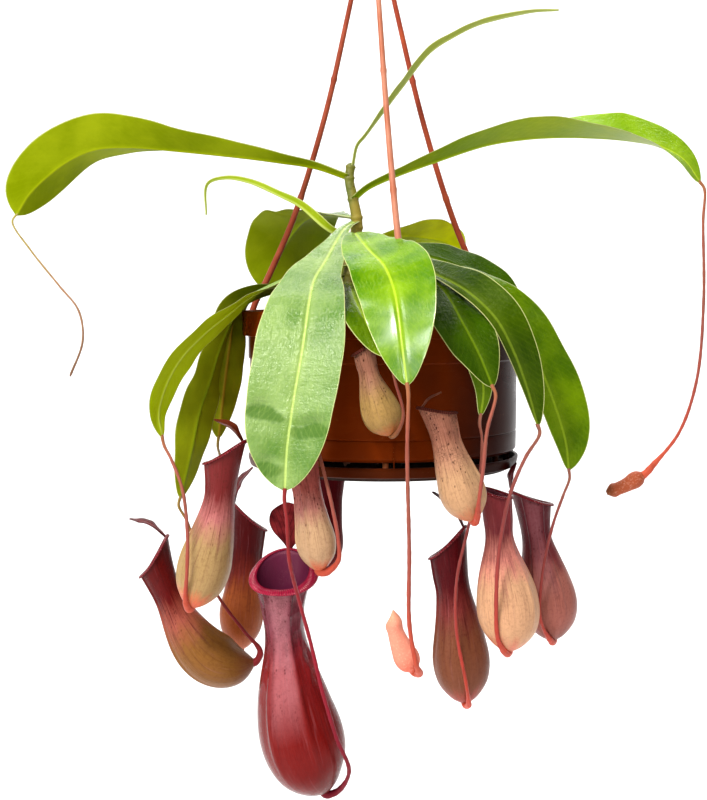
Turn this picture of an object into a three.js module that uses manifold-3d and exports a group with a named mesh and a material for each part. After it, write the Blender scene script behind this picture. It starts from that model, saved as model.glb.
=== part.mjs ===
// Hanging pitcher plant: a tropical pitcher plant in a round plastic hanging pot with a
// clip-on saucer and a three-strand hanger. Millimetres, +Z up, origin inside the crest of
// the hook, where the rod that carries the pot touches it.
import * as THREE from "three";
import { mergeVertices } from "three/addons/utils/BufferGeometryUtils.js";
import Module from "manifold-3d";

const wasm = await Module();
wasm.setup();

// ---- Driving dimensions ---------------------------------------------------------------
const GAP = 0.3; // clearance between pieces that touch
const POT_X = 6; // the pot hangs a little to the right of the hook
const ROUND = 36; // segments round the pot
const RIM_RADIUS = 75;
const RIM_TOP = -257;
const RIM_BOTTOM = -270;
const WALL_RADIUS = 71;
const WALL = 2.2;
const SHOULDER = -282.5; // lower edge of the band under the rim
const GROOVE = -320;
const POT_BOTTOM = -331;
const SAUCER_RADIUS = 72;
const SAUCER_TOP = -333.3;
const SAUCER_BOTTOM = -340.6;
const SAUCER_FLOOR = 1.8;
const SAUCER_WALL = 1.7;
const STUDS = 12; // snap studs that the saucer clips onto
const STUD_RADIUS = 1.6;
const STUD_CIRCLE = 66;
const SOIL_TOP = -263.3; // in the middle, with a slope towards the wall
const HOOK_WIRE = 2.3; // radius of the hook's rod
const HOOK_REACH = 10; // inner radius of the hook
const HUB_TOP = -44;
const HUB_BOTTOM = -52;
const STRAND_RADIUS = [1.4, 1.9]; // at the hub and at the rim
const STRAND_ANGLES = { left: -112.7, front: 7.3, right: 127.3 }; // degrees from the front
const STRAND_BOW = 9; // how far each strand sags towards the pot's axis
const STRAND_TRACK = RIM_RADIUS + GAP + STRAND_RADIUS[1] + 0.5; // strand's axis beside the rim
const BARB = [8, 6.5, 3]; // width, depth and height of the barb under the rim's edge

const group = new THREE.Group();

// ---- Shared geometry ------------------------------------------------------------------
const vector = ([x, y, z]) => new THREE.Vector3(x, y, z);
const rad = THREE.MathUtils.degToRad;
const UP = new THREE.Vector3(0, 0, 1);

// Keeps positions only, joins shared corners, drops flat triangles and turns the faces out.
function closed(geometry) {
  const bare = geometry.clone();
  bare.deleteAttribute("normal");
  bare.deleteAttribute("uv");
  const merged = mergeVertices(bare, 1e-4);
  const corner = (i) => new THREE.Vector3().fromBufferAttribute(merged.attributes.position, i);
  const kept = [];
  let volume = 0;
  for (let i = 0; i < merged.index.count; i += 3) {
    const [a, b, c] = [0, 1, 2].map((k) => merged.index.getX(i + k));
    if (a === b || b === c || c === a) continue;
    kept.push(a, b, c);
    volume += corner(a).dot(corner(b).cross(corner(c)));
  }
  if (volume < 0) kept.reverse();
  merged.setIndex(kept);
  return merged;
}

function toSolid(geometry) {
  const shape = closed(geometry);
  const vertProperties = new Float32Array(shape.attributes.position.array);
  const triVerts = new Uint32Array(shape.index.array);
  return new wasm.Manifold(new wasm.Mesh({ numProp: 3, vertProperties, triVerts }));
}

function toGeometry(solid) {
  const mesh = solid.getMesh();
  const geometry = new THREE.BufferGeometry();
  geometry.setAttribute("position", new THREE.BufferAttribute(mesh.vertProperties, 3));
  geometry.setIndex(new THREE.BufferAttribute(mesh.triVerts, 1));
  return geometry;
}

// A closed skin over rings that all have the same number of points, capped at both ends. The
// two halves of each ring are cut into triangles in mirror image, so that both sides of a
// twisted blade fold along the same lines and never cross.
function loft(rings) {
  const count = rings[0].length;
  const points = rings.flat();
  const middle = (ring) => ring
    .reduce((sum, p) => sum.add(p), new THREE.Vector3())
    .divideScalar(count);
  const first = points.push(middle(rings[0])) - 1;
  const last = points.push(middle(rings[rings.length - 1])) - 1;
  const faces = [];
  for (let j = 0; j < count; j += 1) {
    const next = (j + 1) % count;
    for (let i = 0; i + 1 < rings.length; i += 1) {
      const [a, b] = [i * count + j, i * count + next];
      if (2 * j < count) faces.push(a, b, b + count, a, b + count, a + count);
      else faces.push(a, b, a + count, b, b + count, a + count);
    }
    const end = (rings.length - 1) * count;
    faces.push(first, next, j, last, end + j, end + next);
  }
  const geometry = new THREE.BufferGeometry();
  const numbers = points.flatMap((p) => p.toArray());
  geometry.setAttribute("position", new THREE.Float32BufferAttribute(numbers, 3));
  geometry.setIndex(faces);
  return geometry;
}

// A full turn of a profile of [radius, height] pairs about the pot's axis.
function turned(profile) {
  const points = profile.map(([radius, height]) => new THREE.Vector2(radius, height));
  return new THREE.LatheGeometry(points, ROUND).rotateX(Math.PI / 2).translate(POT_X, 0, 0);
}

// A round rod along a curve whose radius runs from the first value to the second.
function taperedRod(points, [from, to], steps, sides) {
  const curve = new THREE.CatmullRomCurve3(points);
  const frames = curve.computeFrenetFrames(steps, false);
  const rings = frames.tangents.map((_, i) => {
    const radius = from + (to - from) * (i / steps);
    return Array.from({ length: sides }, (__, j) => {
      const turn = (2 * Math.PI * j) / sides;
      return curve.getPointAt(i / steps)
        .addScaledVector(frames.normals[i], radius * Math.cos(turn))
        .addScaledVector(frames.binormals[i], radius * Math.sin(turn));
    });
  });
  return loft(rings);
}

// Value at 0..1 in a list of evenly spaced values.
function along(values, t) {
  const place = t * (values.length - 1);
  const i = Math.min(Math.floor(place), values.length - 2);
  return values.length === 1 ? values[0] : values[i] + (values[i + 1] - values[i]) * (place - i);
}

function add(name, geometry, [color, roughness]) {
  const material = new THREE.MeshStandardMaterial({ color, roughness, metalness: 0 });
  const mesh = new THREE.Mesh(closed(geometry), material);
  mesh.name = name;
  group.add(mesh);
}

// ---- Pot, saucer and potting mix --------------------------------------------------------
const PLASTIC = [0x7a3a1c, 0.35];
const SOIL = [0x2c2019, 0.95];
const INNER_RADIUS = WALL_RADIUS - WALL;
const BAND_RADIUS = WALL_RADIUS + 0.8; // the band under the rim stands a little proud

function pot() {
  const shell = toSolid(turned([
    [0, POT_BOTTOM], [WALL_RADIUS - 2, POT_BOTTOM], [WALL_RADIUS - 0.4, POT_BOTTOM + 1.5],
    [WALL_RADIUS, GROOVE - 0.4], [WALL_RADIUS - 0.5, GROOVE], [WALL_RADIUS, GROOVE + 0.4],
    [WALL_RADIUS, SHOULDER], [BAND_RADIUS, SHOULDER + 0.6], [BAND_RADIUS, RIM_BOTTOM],
    [RIM_RADIUS, RIM_BOTTOM], [RIM_RADIUS, RIM_TOP - 1], [RIM_RADIUS - 1, RIM_TOP],
    [RIM_RADIUS - WALL, RIM_TOP], [RIM_RADIUS - WALL, RIM_BOTTOM + 4], [INNER_RADIUS, RIM_BOTTOM],
    [INNER_RADIUS, POT_BOTTOM + WALL], [0, POT_BOTTOM + WALL],
  ]));
  const foot = SAUCER_BOTTOM + SAUCER_FLOOR + GAP;
  const height = POT_BOTTOM + 1 - foot;
  const studs = Array.from({ length: STUDS }, (_, i) => {
    const turn = (2 * Math.PI * (i + 0.4)) / STUDS;
    const [x, y] = [POT_X + STUD_CIRCLE * Math.cos(turn), STUD_CIRCLE * Math.sin(turn)];
    const stud = new THREE.CylinderGeometry(STUD_RADIUS, STUD_RADIUS, height, 6);
    return toSolid(stud.rotateX(Math.PI / 2).translate(x, y, foot + height / 2));
  });
  return toGeometry(studs.reduce((whole, stud) => whole.add(stud), shell));
}

add("hanging_pot", pot(), PLASTIC);
add("clip_on_saucer", turned([
  [0, SAUCER_BOTTOM], [SAUCER_RADIUS - 6, SAUCER_BOTTOM], [SAUCER_RADIUS - 1, SAUCER_BOTTOM + 2.2],
  [SAUCER_RADIUS, SAUCER_TOP - 1.5], [SAUCER_RADIUS, SAUCER_TOP],
  [SAUCER_RADIUS - SAUCER_WALL, SAUCER_TOP],
  [SAUCER_RADIUS - SAUCER_WALL, SAUCER_BOTTOM + SAUCER_FLOOR], [0, SAUCER_BOTTOM + SAUCER_FLOOR],
]), PLASTIC);
add("potting_mix", turned([
  [0, POT_BOTTOM + WALL + GAP], [INNER_RADIUS - GAP, POT_BOTTOM + WALL + GAP],
  [INNER_RADIUS - GAP, SOIL_TOP - 7], [60, SOIL_TOP - 4], [30, SOIL_TOP], [0, SOIL_TOP],
]), SOIL);

// ---- Hanger -----------------------------------------------------------------------------
const HANGER = [0xc0735f, 0.4];

// The hook's rod runs round its bend, back under it and down into a small round hub.
function hook() {
  const bend = HOOK_REACH + HOOK_WIRE;
  const arc = [200, 165, 130, 95, 60, 25, 0].map((degrees) => {
    const [x, z] = [bend * Math.cos(rad(degrees)), bend * Math.sin(rad(degrees))];
    return new THREE.Vector3(x, 0, z - HOOK_REACH);
  });
  const shank = [[11.5, 0, -20], [6, 0, -30], [0.5, 0, -37], [0, 0, HUB_TOP - 3]].map(vector);
  const rod = taperedRod([...arc, ...shank], [HOOK_WIRE, HOOK_WIRE], 24, 8);
  const hub = new THREE.CylinderGeometry(3, 5, HUB_TOP - HUB_BOTTOM, 16).rotateX(Math.PI / 2);
  hub.translate(0, 0, (HUB_TOP + HUB_BOTTOM) / 2);
  return toGeometry(toSolid(rod).add(toSolid(hub)));
}

// One strand: a tapering rod from the hub to the rim, with a barb under the rim's edge.
function strand(degrees) {
  const outward = new THREE.Vector3(Math.sin(rad(degrees)), -Math.cos(rad(degrees)), 0);
  const at = (x, radius, z) => new THREE.Vector3(x, 0, z).addScaledVector(outward, radius);
  const span = (share) => {
    const radius = STRAND_TRACK * share - STRAND_BOW * Math.sin(Math.PI * share ** 1.5);
    return at(POT_X * share, radius, HUB_BOTTOM + (RIM_TOP - HUB_BOTTOM) * share);
  };
  const points = [at(0, 2.6, HUB_BOTTOM - GAP - 0.4), span(0.25), span(0.5), span(0.75), span(0.9)];
  points.push(at(POT_X, STRAND_TRACK, RIM_TOP - 1), at(POT_X, STRAND_TRACK, RIM_BOTTOM + 4));
  points.push(at(POT_X, STRAND_TRACK, RIM_BOTTOM - 3));
  const barb = new THREE.BoxGeometry(...BARB);
  barb.translate(0, 2.2 - STRAND_TRACK, RIM_BOTTOM - 2 * GAP - BARB[2] / 2);
  barb.rotateZ(rad(degrees)).translate(POT_X, 0, 0);
  return toGeometry(toSolid(taperedRod(points, STRAND_RADIUS, 20, 6)).add(toSolid(barb)));
}

add("hanger_hook", hook(), HANGER);
for (const [side, degrees] of Object.entries(STRAND_ANGLES)) {
  add(`hanger_strand_${side}`, strand(degrees), HANGER);
}

// ---- Stem ---------------------------------------------------------------------------------
const STEM = [0xa3a046, 0.6];
const STEM_RADIUS = [4.2, 2.3]; // at the potting mix and at the tip
const STEM_POINTS = [
  [-11, 0, SOIL_TOP + 2 * GAP], [-12, 0, -246], [-11, 0, -231], [-9, 0, -220], [-8, 0, -210],
  [-10, 0, -198], [-12, 0, -188], [-11, 0, -179],
].map(vector);
const stemCurve = new THREE.CatmullRomCurve3(STEM_POINTS);
add("stem", taperedRod(STEM_POINTS, STEM_RADIUS, 14, 8), STEM);

// The point of the stem's axis at a height, and the stem's radius there.
function stemAt(height) {
  let [low, high] = [0, 1];
  for (let i = 0; i < 20; i += 1) {
    const half = (low + high) / 2;
    if (stemCurve.getPointAt(half).z < height) low = half;
    else high = half;
  }
  return { centre: stemCurve.getPointAt(low), radius: along(STEM_RADIUS, low) };
}

// ---- Leaves ---------------------------------------------------------------------------------
const LEAF_STEPS = 10;
const LEAF_THICKNESS = 0.9;
const LEAF_BASE = 2.4; // half width where the leaf leaves the stem
const LEAF_TIP = 0.8; // half width where the tendril begins

// Half width of a blade along its length, as a share of the widest place.
function bladeShare(t, peak, blunt) {
  if (t < peak) return THREE.MathUtils.smoothstep(t, 0, peak);
  return (1 - ((t - peak) / (1 - peak)) ** blunt) ** 0.75;
}

// Rings of eight points across a blade. Positive roll lifts the edge on the left of the way
// that the blade runs, fold lifts both edges.
function bladeRings(curve, blade) {
  const { heading, half, base, tip, peak, blunt, left, right, roll, fold, thickness, steps } = blade;
  const level = new THREE.Vector3(-Math.sin(rad(heading)), Math.cos(rad(heading)), 0);
  return Array.from({ length: steps + 1 }, (_, i) => {
    const t = i / steps;
    const tangent = curve.getTangentAt(t);
    const across = level.clone().addScaledVector(tangent, -level.dot(tangent)).normalize();
    across.applyAxisAngle(tangent, rad(along(roll, t)));
    const face = tangent.clone().cross(across);
    const end = t < peak ? base : tip;
    const width = end + (half - end) * bladeShare(t, peak, blunt);
    const lift = Math.tan(rad(along(fold, t)));
    const thick = thickness * (1 - 0.3 * t);
    const at = (side, height) => curve.getPointAt(t)
      .addScaledVector(across, side)
      .addScaledVector(face, Math.abs(side) * lift + height);
    const [l, r] = [width * left, -width * right];
    return [
      at(l, 0), at(l * 0.5, thick * 0.4), at(0, thick * 0.5), at(r * 0.5, thick * 0.4),
      at(r, 0), at(r * 0.5, -thick * 0.4), at(0, -thick * 0.8), at(l * 0.5, -thick * 0.4),
    ];
  });
}

const leafTips = {};

// A leaf from the stem at a height, through the points of its midrib to its tip.
function leaf(name, height, rib, shape, [color, roughness] = [0x5c8c1e, 0.4]) {
  const points = rib.map(vector);
  const stem = stemAt(height);
  const outward = points[0].clone().sub(stem.centre).setZ(0).normalize();
  points.unshift(stem.centre.addScaledVector(outward, stem.radius + 2 * GAP));
  const curve = new THREE.CatmullRomCurve3(points);
  const tip = points[points.length - 1];
  const chord = tip.clone().sub(points[0]);
  const heading = THREE.MathUtils.radToDeg(Math.atan2(chord.y, chord.x));
  const blade = {
    heading, base: LEAF_BASE, tip: LEAF_TIP, peak: 0.6, blunt: 2.4, left: 1, right: 1,
    roll: [0], fold: [8], thickness: LEAF_THICKNESS, steps: LEAF_STEPS, ...shape,
  };
  leafTips[name] = { point: tip, direction: curve.getTangentAt(1) };
  add(`leaf_${name}`, loft(bladeRings(curve, blade)), [color, roughness]);
}

leaf("upper_left", -187, [
  [-31, 0, -181], [-49, -3, -178.5], [-66, -5, -176.5], [-103, -7, -173], [-127, -8, -171.3],
  [-145, -8, -172.5], [-158, -8, -177.8], [-169, -8, -185.5], [-180, -8, -196], [-187, -8, -207],
], { half: 17.5, base: 4, roll: [8, 14, 18, 40, 60], fold: [25, 25, 25, 25, 20] });
leaf("upper_right", -198, [
  [-3, -3, -193], [7, -4, -188], [36, -6, -177.5], [60, -7, -170], [80, -8, -167],
  [98, -8, -166], [118, -8, -166.5], [135, -8, -168], [150, -8, -171], [163, -8, -178],
  [172, -8, -190],
], { half: 18, base: 4, roll: [-8, -8, -3, 22, 45], fold: [20, 22, 28, 30, 10], peak: 0.62 });
leaf("top", -181, [
  [-8, 0, -170], [-4, 0, -165], [2, -1, -157], [15, -3, -140], [30, -6, -122], [43, -8, -114],
  [56, -8, -108], [82, -8, -102], [97, -8, -101],
], { half: 5.2, peak: 0.4, blunt: 1.2, roll: [0, -20], fold: [8, 20] });
leaf("young_left", -219, [
  [-22, -6, -215], [-38, -9, -202], [-48, -10, -197], [-64, -10, -190], [-77, -10, -188],
  [-86, -10, -191], [-87, -10, -207],
], { half: 4.5, peak: 0.22, blunt: 0.8, roll: [25], fold: [20] });
leaf("back_left", -208, [
  [-23, 22, -205], [-37, 44, -207], [-47, 54, -218], [-55, 58, -231], [-61, 60, -246],
], { half: 24, heading: 110 });
leaf("back_right", -222, [
  [13, 25, -217], [30, 45, -217], [44, 56, -220], [52, 60, -227],
], { half: 17, roll: [-25] });
leaf("front_left", -210, [
  [-14, -14, -214], [-19, -30, -222], [-24, -48, -232], [-29, -62, -241], [-31, -78, -251],
  [-34, -92, -274], [-38, -98, -298], [-41, -102, -321], [-42, -103, -340],
], { half: 21, left: 0.98, right: 1.08, heading: -100, peak: 0.66, blunt: 3.6 });
leaf("front_centre", -217, [
  [-9, -22, -217], [-6.5, -44, -221], [-1.5, -64, -227.6], [5, -80, -235], [9, -90, -245],
  [11, -98, -256], [13, -106, -274], [15, -110, -290],
], { half: 18.5, left: 1.12, right: 0.94, heading: -108, peak: 0.66, blunt: 3, roll: [2, 0, 0] });
leaf("front_right", -229, [
  [14, -30, -233], [33, -62, -245], [43, -82, -263], [50, -88, -277], [56, -92, -292],
], { half: 16, left: 0.85, heading: -78 });
leaf("right_under", -239, [
  [14, -30, -241], [30, -56, -249], [38, -69, -253], [44, -77, -265], [50, -79, -281],
  [53, -77, -294], [52, -74, -307],
], { half: 7, heading: -75 });
leaf("right_arching", -226, [
  [14, -24, -230], [30, -52, -238], [46, -74, -247.5], [58.5, -81.5, -260], [67, -79, -275],
  [75, -71, -294], [81, -65, -313],
], { half: 12.5, right: 0.3, roll: [10, 30, 50, 75], fold: [12] });
leaf("right_outer", -231, [
  [15, -8, -231], [31, -20, -235], [52, -34, -241], [70, -45, -257], [79, -46, -274],
  [89, -44, -296], [98, -42, -323], [100, -41, -338],
], { half: 16.5, right: 0.45, peak: 0.76, roll: [5, 15, 35, 60, 70] });
leaf("right_rear", -224, [
  [15, 4, -226], [32, 8, -229], [53, 10, -237], [69, 10, -246], [82, 9, -257],
], { half: 15, right: 0.5, roll: [10, 40, 50] });
leaf("low_centre", -243, [
  [-11, -40, -245], [-9, -70, -251], [-5, -88, -259], [0, -96, -269], [5, -99, -277],
], { half: 11, heading: -90 });
leaf("left_outer", -233, [
  [-33, -18, -236], [-62, -36, -249], [-73, -43, -258], [-85, -48, -268], [-97, -51, -281],
  [-105, -50, -296], [-108, -50, -309], [-106, -50, -320],
], { half: 14, right: 0.8, roll: [5, 15, 45, 65], fold: [-8] });
leaf("left_middle", -238, [
  [-36, -5, -243], [-64, -21, -252], [-72, -25, -260], [-79, -28, -276], [-84, -29, -293],
  [-89, -31, -308], [-93, -34, -328], [-99, -34, -353],
], { half: 13, roll: [0, 15, 60, 75] });
leaf("left_inner", -243, [
  [-38, 2, -247], [-64, -3, -248.5], [-75, -6, -257], [-78, -8, -275], [-80, -10, -291],
  [-81, -10, -307], [-82, -10, -324],
], { half: 10, roll: [0, 20, 60, 70], heading: 180 });
leaf("left_lower", -248, [
  [-20, -35, -246], [-28, -64, -252], [-31, -80, -265], [-30, -83, -284], [-28, -82, -304],
  [-28, -82, -313],
], { half: 9, heading: -95 });
leaf("back_centre", -227, [
  [-11, 25, -224], [-13, 55, -226], [-15, 82, -243], [-17, 97, -272], [-18, 101, -305],
], { half: 17 });
leaf("back_far_right", -232, [
  [4, 24, -229], [24, 56, -231], [38, 80, -247], [46, 92, -280],
], { half: 16 });

// ---- Pitchers -------------------------------------------------------------------------------
const PITCHER_SIDES = 10;
const PITCHER_WALL = 1;
const OUTER_PLACES = [0, 0.1, 0.22, 0.36, 0.5, 0.64, 0.78, 0.9, 1];
const INNER_PLACES = [1, 0.84, 0.68, 0.5, 0.36, 0.24]; // from the mouth down to the cup's floor
const YOUNG_PLACES = [0, 0.12, 0.25, 0.4, 0.55, 0.7, 0.85, 1];
const SLANT_START = 0.62; // place above which the rings start to slant with the mouth
const LID_BEND = 25; // degrees that the outer half of a lid bends down

// A pitcher's radius along its axis, as a curve through [place, radius] pairs.
function pitcherProfile({ belly, neck, mouth }) {
  const pairs = [
    [0, 1.5], [0.04, belly * 0.46], [0.14, belly * 0.87], [0.28, belly], [0.46, belly * 0.84],
    [0.7, neck], [0.85, neck * 1.04], [1, mouth],
  ];
  return new THREE.SplineCurve(pairs.map(([place, radius]) => new THREE.Vector2(place, radius)));
}

function pitcherFrame(curve, place, facing) {
  const side = new THREE.Vector3(-Math.sin(rad(facing)), Math.cos(rad(facing)), 0);
  const up = curve.getTangentAt(place);
  side.addScaledVector(up, -side.dot(up)).normalize();
  return { up, side, forward: side.clone().cross(up) };
}

// A ring round a pitcher. Towards the mouth it rises at the back by the slope.
function pitcherRing(curve, place, radius, { facing, slope }) {
  const { up, forward, side } = pitcherFrame(curve, place, facing);
  const share = THREE.MathUtils.smoothstep(place, SLANT_START, 1);
  return Array.from({ length: PITCHER_SIDES }, (_, j) => {
    const turn = (2 * Math.PI * j) / PITCHER_SIDES;
    const rise = ((1 - Math.cos(turn)) / 2) ** 1.3 - 0.45;
    return curve.getPointAt(place)
      .addScaledVector(forward, radius * Math.cos(turn))
      .addScaledVector(side, radius * Math.sin(turn))
      .addScaledVector(up, slope * rise * share);
  });
}

const pitcherBases = {};

// An open pitcher: a cup with a wall and a lid on a short neck at the back of its mouth.
function pitcher(name, axis, shape, color) {
  const curve = new THREE.CatmullRomCurve3(axis.map(vector));
  const profile = pitcherProfile(shape);
  const outer = OUTER_PLACES.map((u) => profile.getPoint(u))
    .map((p) => pitcherRing(curve, p.x, p.y, shape));
  const inner = INNER_PLACES.map((u) => profile.getPoint(u))
    .map((p) => pitcherRing(curve, p.x, p.y - PITCHER_WALL, shape));
  const cup = toSolid(loft([...outer, ...inner]));

  const { forward, side } = pitcherFrame(curve, 1, shape.facing);
  const hinge = curve.getPointAt(1).addScaledVector(forward, -(shape.mouth - PITCHER_WALL / 2));
  hinge.addScaledVector(curve.getTangentAt(1), shape.slope * 0.55 - 1.5);
  const flat = forward.clone().setZ(0).normalize();
  const half = shape.lid / 2;
  const onward = (from, degrees) => from.clone()
    .addScaledVector(flat, half * Math.cos(rad(degrees)))
    .addScaledVector(UP, half * Math.sin(rad(degrees)));
  const middle = onward(hinge, shape.lidTilt);
  const end = onward(middle, shape.lidTilt - LID_BEND);
  const lid = loft(bladeRings(new THREE.CatmullRomCurve3([hinge, middle, end]), {
    heading: THREE.MathUtils.radToDeg(Math.atan2(side.y, side.x)) - 90,
    half: shape.lidHalf, base: 0.9, tip: 0.8, peak: 0.55, blunt: 2.2, left: 1, right: 1,
    roll: [0], fold: [6], thickness: 1, steps: 5,
  }));
  pitcherBases[name] = { point: curve.getPointAt(0), direction: curve.getTangentAt(0) };
  add(`pitcher_${name}`, toGeometry(cup.add(toSolid(lid))), [color, 0.35]);
}

// A young pitcher that is still shut.
function youngPitcher(name, axis, shape, color) {
  const curve = new THREE.CatmullRomCurve3(axis.map(vector));
  const profile = pitcherProfile(shape);
  const rings = YOUNG_PLACES.map((u) => profile.getPoint(u))
    .map((p) => pitcherRing(curve, p.x, p.y, shape));
  pitcherBases[name] = { point: curve.getPointAt(0), direction: curve.getTangentAt(0) };
  add(`pitcher_${name}`, loft(rings), [color, 0.45]);
}

pitcher("left", [
  [-92, -54, -406], [-86, -52, -388], [-79, -52, -362], [-76, -52, -344], [-74, -52, -328],
],
  { belly: 13.5, neck: 7.6, mouth: 9.6, facing: 170, slope: 14,
    lid: 20, lidHalf: 5, lidTilt: 50 }, 0xa8793f);
pitcher("far_left", [
  [-62, -22, -442], [-75, -22, -444], [-89, -22, -437],
  [-100, -22, -421], [-108, -22, -404], [-114, -22, -386],
],
  { belly: 15, neck: 7.4, mouth: 10, facing: 180, slope: 16,
    lid: 23, lidHalf: 6, lidTilt: 40 }, 0x7a3b22);
pitcher("left_rear", [[-72, 10, -443], [-71, 10, -421], [-69, 10, -396], [-67, 10, -370]],
  { belly: 12, neck: 8.4, mouth: 9.4, facing: 14, slope: 14,
    lid: 24, lidHalf: 7, lidTilt: 75 }, 0x8a3c26);
pitcher("small_left", [[-26, -86, -381], [-28, -86, -365], [-31, -85, -348], [-34, -82, -329]],
  { belly: 9.6, neck: 6.6, mouth: 7.4, facing: -140, slope: 8,
    lid: 12, lidHalf: 4.5, lidTilt: 80 }, 0xb07c4e);
pitcher("big_front", [
  [-24, -56, -501], [-32, -57, -484], [-39, -58, -459],
  [-43, -58, -430], [-45, -58, -409], [-45, -58, -387],
],
  { belly: 21.3, neck: 10.6, mouth: 15.5, facing: -100, slope: 20,
    lid: 27, lidHalf: 11, lidTilt: 95 }, 0x8f2f35);
pitcher("rear", [[-29, 88, -414], [-27, 88, -399], [-25, 88, -378], [-23, 88, -353]],
  { belly: 11, neck: 8, mouth: 9, facing: 90, slope: 10,
    lid: 15, lidHalf: 6, lidTilt: 60 }, 0x5e1f22);
pitcher("small_centre", [[8, -90, -315], [4, -89, -306], [-1, -88, -291], [-5, -87, -274]],
  { belly: 9.6, neck: 4.9, mouth: 5.2, facing: 180, slope: 4,
    lid: 6, lidHalf: 3, lidTilt: 60 }, 0xa38242);
pitcher("small_right", [
  [48, -85, -357], [43, -84, -344], [37, -84, -327], [33, -84, -313], [30, -84, -304],
],
  { belly: 11.2, neck: 6.9, mouth: 8.2, facing: 10, slope: 8,
    lid: 13, lidHalf: 1.8, lidTilt: 40 }, 0xb98f52);
pitcher("right_rear", [
  [48, -40, -459], [46, -39, -440], [44, -38, -416], [41, -38, -395], [39, -38, -376],
],
  { belly: 14.8, neck: 8.8, mouth: 9.8, facing: 165, slope: 15,
    lid: 26, lidHalf: 6, lidTilt: 60 }, 0x5d1f22);
pitcher("right_front", [
  [68, -60, -427], [68, -60, -408], [64, -60, -381], [62, -60, -361], [61, -60, -347],
],
  { belly: 15.6, neck: 7, mouth: 7.4, facing: -15, slope: 5,
    lid: 10, lidHalf: 4, lidTilt: 160 }, 0xb06a48);
pitcher("right_outer", [
  [94, -32, -428], [92, -31, -410], [88, -30, -389], [84.5, -30, -370], [82, -30, -354],
],
  { belly: 14.8, neck: 7.8, mouth: 10, facing: 8, slope: 10,
    lid: 17, lidHalf: 5, lidTilt: 95 }, 0x5a2024);
youngPitcher("young_centre", [[19, -106, -425], [14, -108, -416], [10, -108, -406], [8, -108, -397]],
  { belly: 6, neck: 4, mouth: 1, facing: 180, slope: 3 }, 0xd9755c);
youngPitcher("young_right", [[145, -8, -344], [135, -8, -350], [125, -8, -354]],
  { belly: 4.6, neck: 3.4, mouth: 1, facing: -90, slope: 0 }, 0xc2603f);

// ---- Tendrils -------------------------------------------------------------------------------
const TENDRIL_STEPS = 16;
const TENDRIL_SIDES = 6;
const TENDRIL_GAP = GAP + 0.1; // to the leaf's tip and to the pitcher's foot

// A tendril from a leaf's tip through free points to the foot of a pitcher.
function tendril(name, leafName, route, pitcherName, radius, color = 0xc96a55) {
  const from = leafTips[leafName];
  const beyond = ({ point, direction }, distance) => point.clone().addScaledVector(direction, distance);
  const points = [beyond(from, TENDRIL_GAP), beyond(from, 4), ...route.map(vector)];
  if (pitcherName) {
    const foot = pitcherBases[pitcherName];
    points.push(beyond(foot, -3), beyond(foot, -TENDRIL_GAP));
  }
  const section = new THREE.Shape();
  for (let j = 0; j < TENDRIL_SIDES; j += 1) {
    const turn = (2 * Math.PI * j) / TENDRIL_SIDES;
    const corner = [radius * Math.cos(turn), radius * Math.sin(turn)];
    if (j === 0) section.moveTo(...corner);
    else section.lineTo(...corner);
  }
  const extrudePath = new THREE.CatmullRomCurve3(points);
  const options = { steps: TENDRIL_STEPS, extrudePath, bevelEnabled: false };
  const tube = new THREE.ExtrudeGeometry(section, options);
  add(`tendril_${name}`, tube, [color, 0.5]);
}

tendril("upper_left", "upper_left", [
  [-180, -8, -225], [-165, -8, -244], [-155, -8, -257], [-153, -8, -273], [-160, -8, -292],
], null, 0.7, 0x9a7a5c);
tendril("upper_right", "upper_right", [
  [174, -8, -210], [175, -8, -251], [172, -8, -294], [163, -8, -322], [153, -8, -338],
], "young_right", 1);
tendril("left", "left_outer", [
  [-101, -54, -331], [-95, -60, -345], [-92, -66, -365], [-92, -69, -384], [-95, -63, -402],
], "left", 1.1);
tendril("far_left", "left_middle", [
  [-96, -33, -365], [-88, -31, -389], [-79, -28, -408], [-67, -25, -425], [-57, -23, -435],
], "far_left", 1, 0x8c2a2a);
tendril("left_rear", "left_inner", [
  [-81, 2, -338], [-80, 14, -355], [-78, 26, -385], [-77, 28, -419], [-74, 22, -444],
], "left_rear", 1, 0x8c2a2a);
tendril("small_left", "left_lower", [
  [-24, -92, -332], [-20, -96, -348], [-16, -96, -365], [-15, -92, -376], [-20, -87, -385],
], "small_left", 1.1);
tendril("big_front", "front_left", [
  [-41, -105, -354], [-40, -103, -373], [-36, -88, -395], [-31, -79, -417], [-25, -80, -442],
  [-18, -78, -466], [-12, -68, -486], [-15, -58, -502],
], "big_front", 1.2, 0xa8323a);
tendril("rear", "back_centre",
  [[-18, 104, -335], [-20, 105, -370], [-24, 103, -400], [-28, 95, -417]], "rear", 1, 0x8c2a2a);
tendril("small_centre", "low_centre",
  [[10, -103, -290], [14, -103, -304], [13, -96, -318]], "small_centre", 0.9, 0xb9806a);
tendril("small_right", "front_right",
  [[53, -99, -312], [51, -101, -331], [51, -99, -348], [52, -92, -359]], "small_right", 1.1);
tendril("right_rear", "right_under", [
  [53, -71, -319], [52, -67, -340], [47, -60, -366], [42, -58, -391], [42, -57, -417],
  [47, -57, -444], [50, -48, -461],
], "right_rear", 1, 0x9c3030);
tendril("right_front", "right_arching", [
  [74, -73, -328], [66, -80, -345], [61, -80, -372], [57, -80, -402], [58, -75, -420], [65, -66, -430],
], "right_front", 1.2, 0xb8433f);
tendril("right_outer", "right_outer", [
  [97, -44, -350], [91, -49, -365], [86, -51, -388], [85, -49, -412], [91, -40, -429],
], "right_outer", 1, 0xa8483f);
tendril("young_centre", "front_centre", [
  [15, -111, -320], [16, -114, -367], [16, -118, -400], [19, -118, -418], [22, -111, -428],
], "young_centre", 1.2);

export default group;
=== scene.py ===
import math

import bmesh
import bpy
import numpy as np
from mathutils import Matrix, Vector


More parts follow.
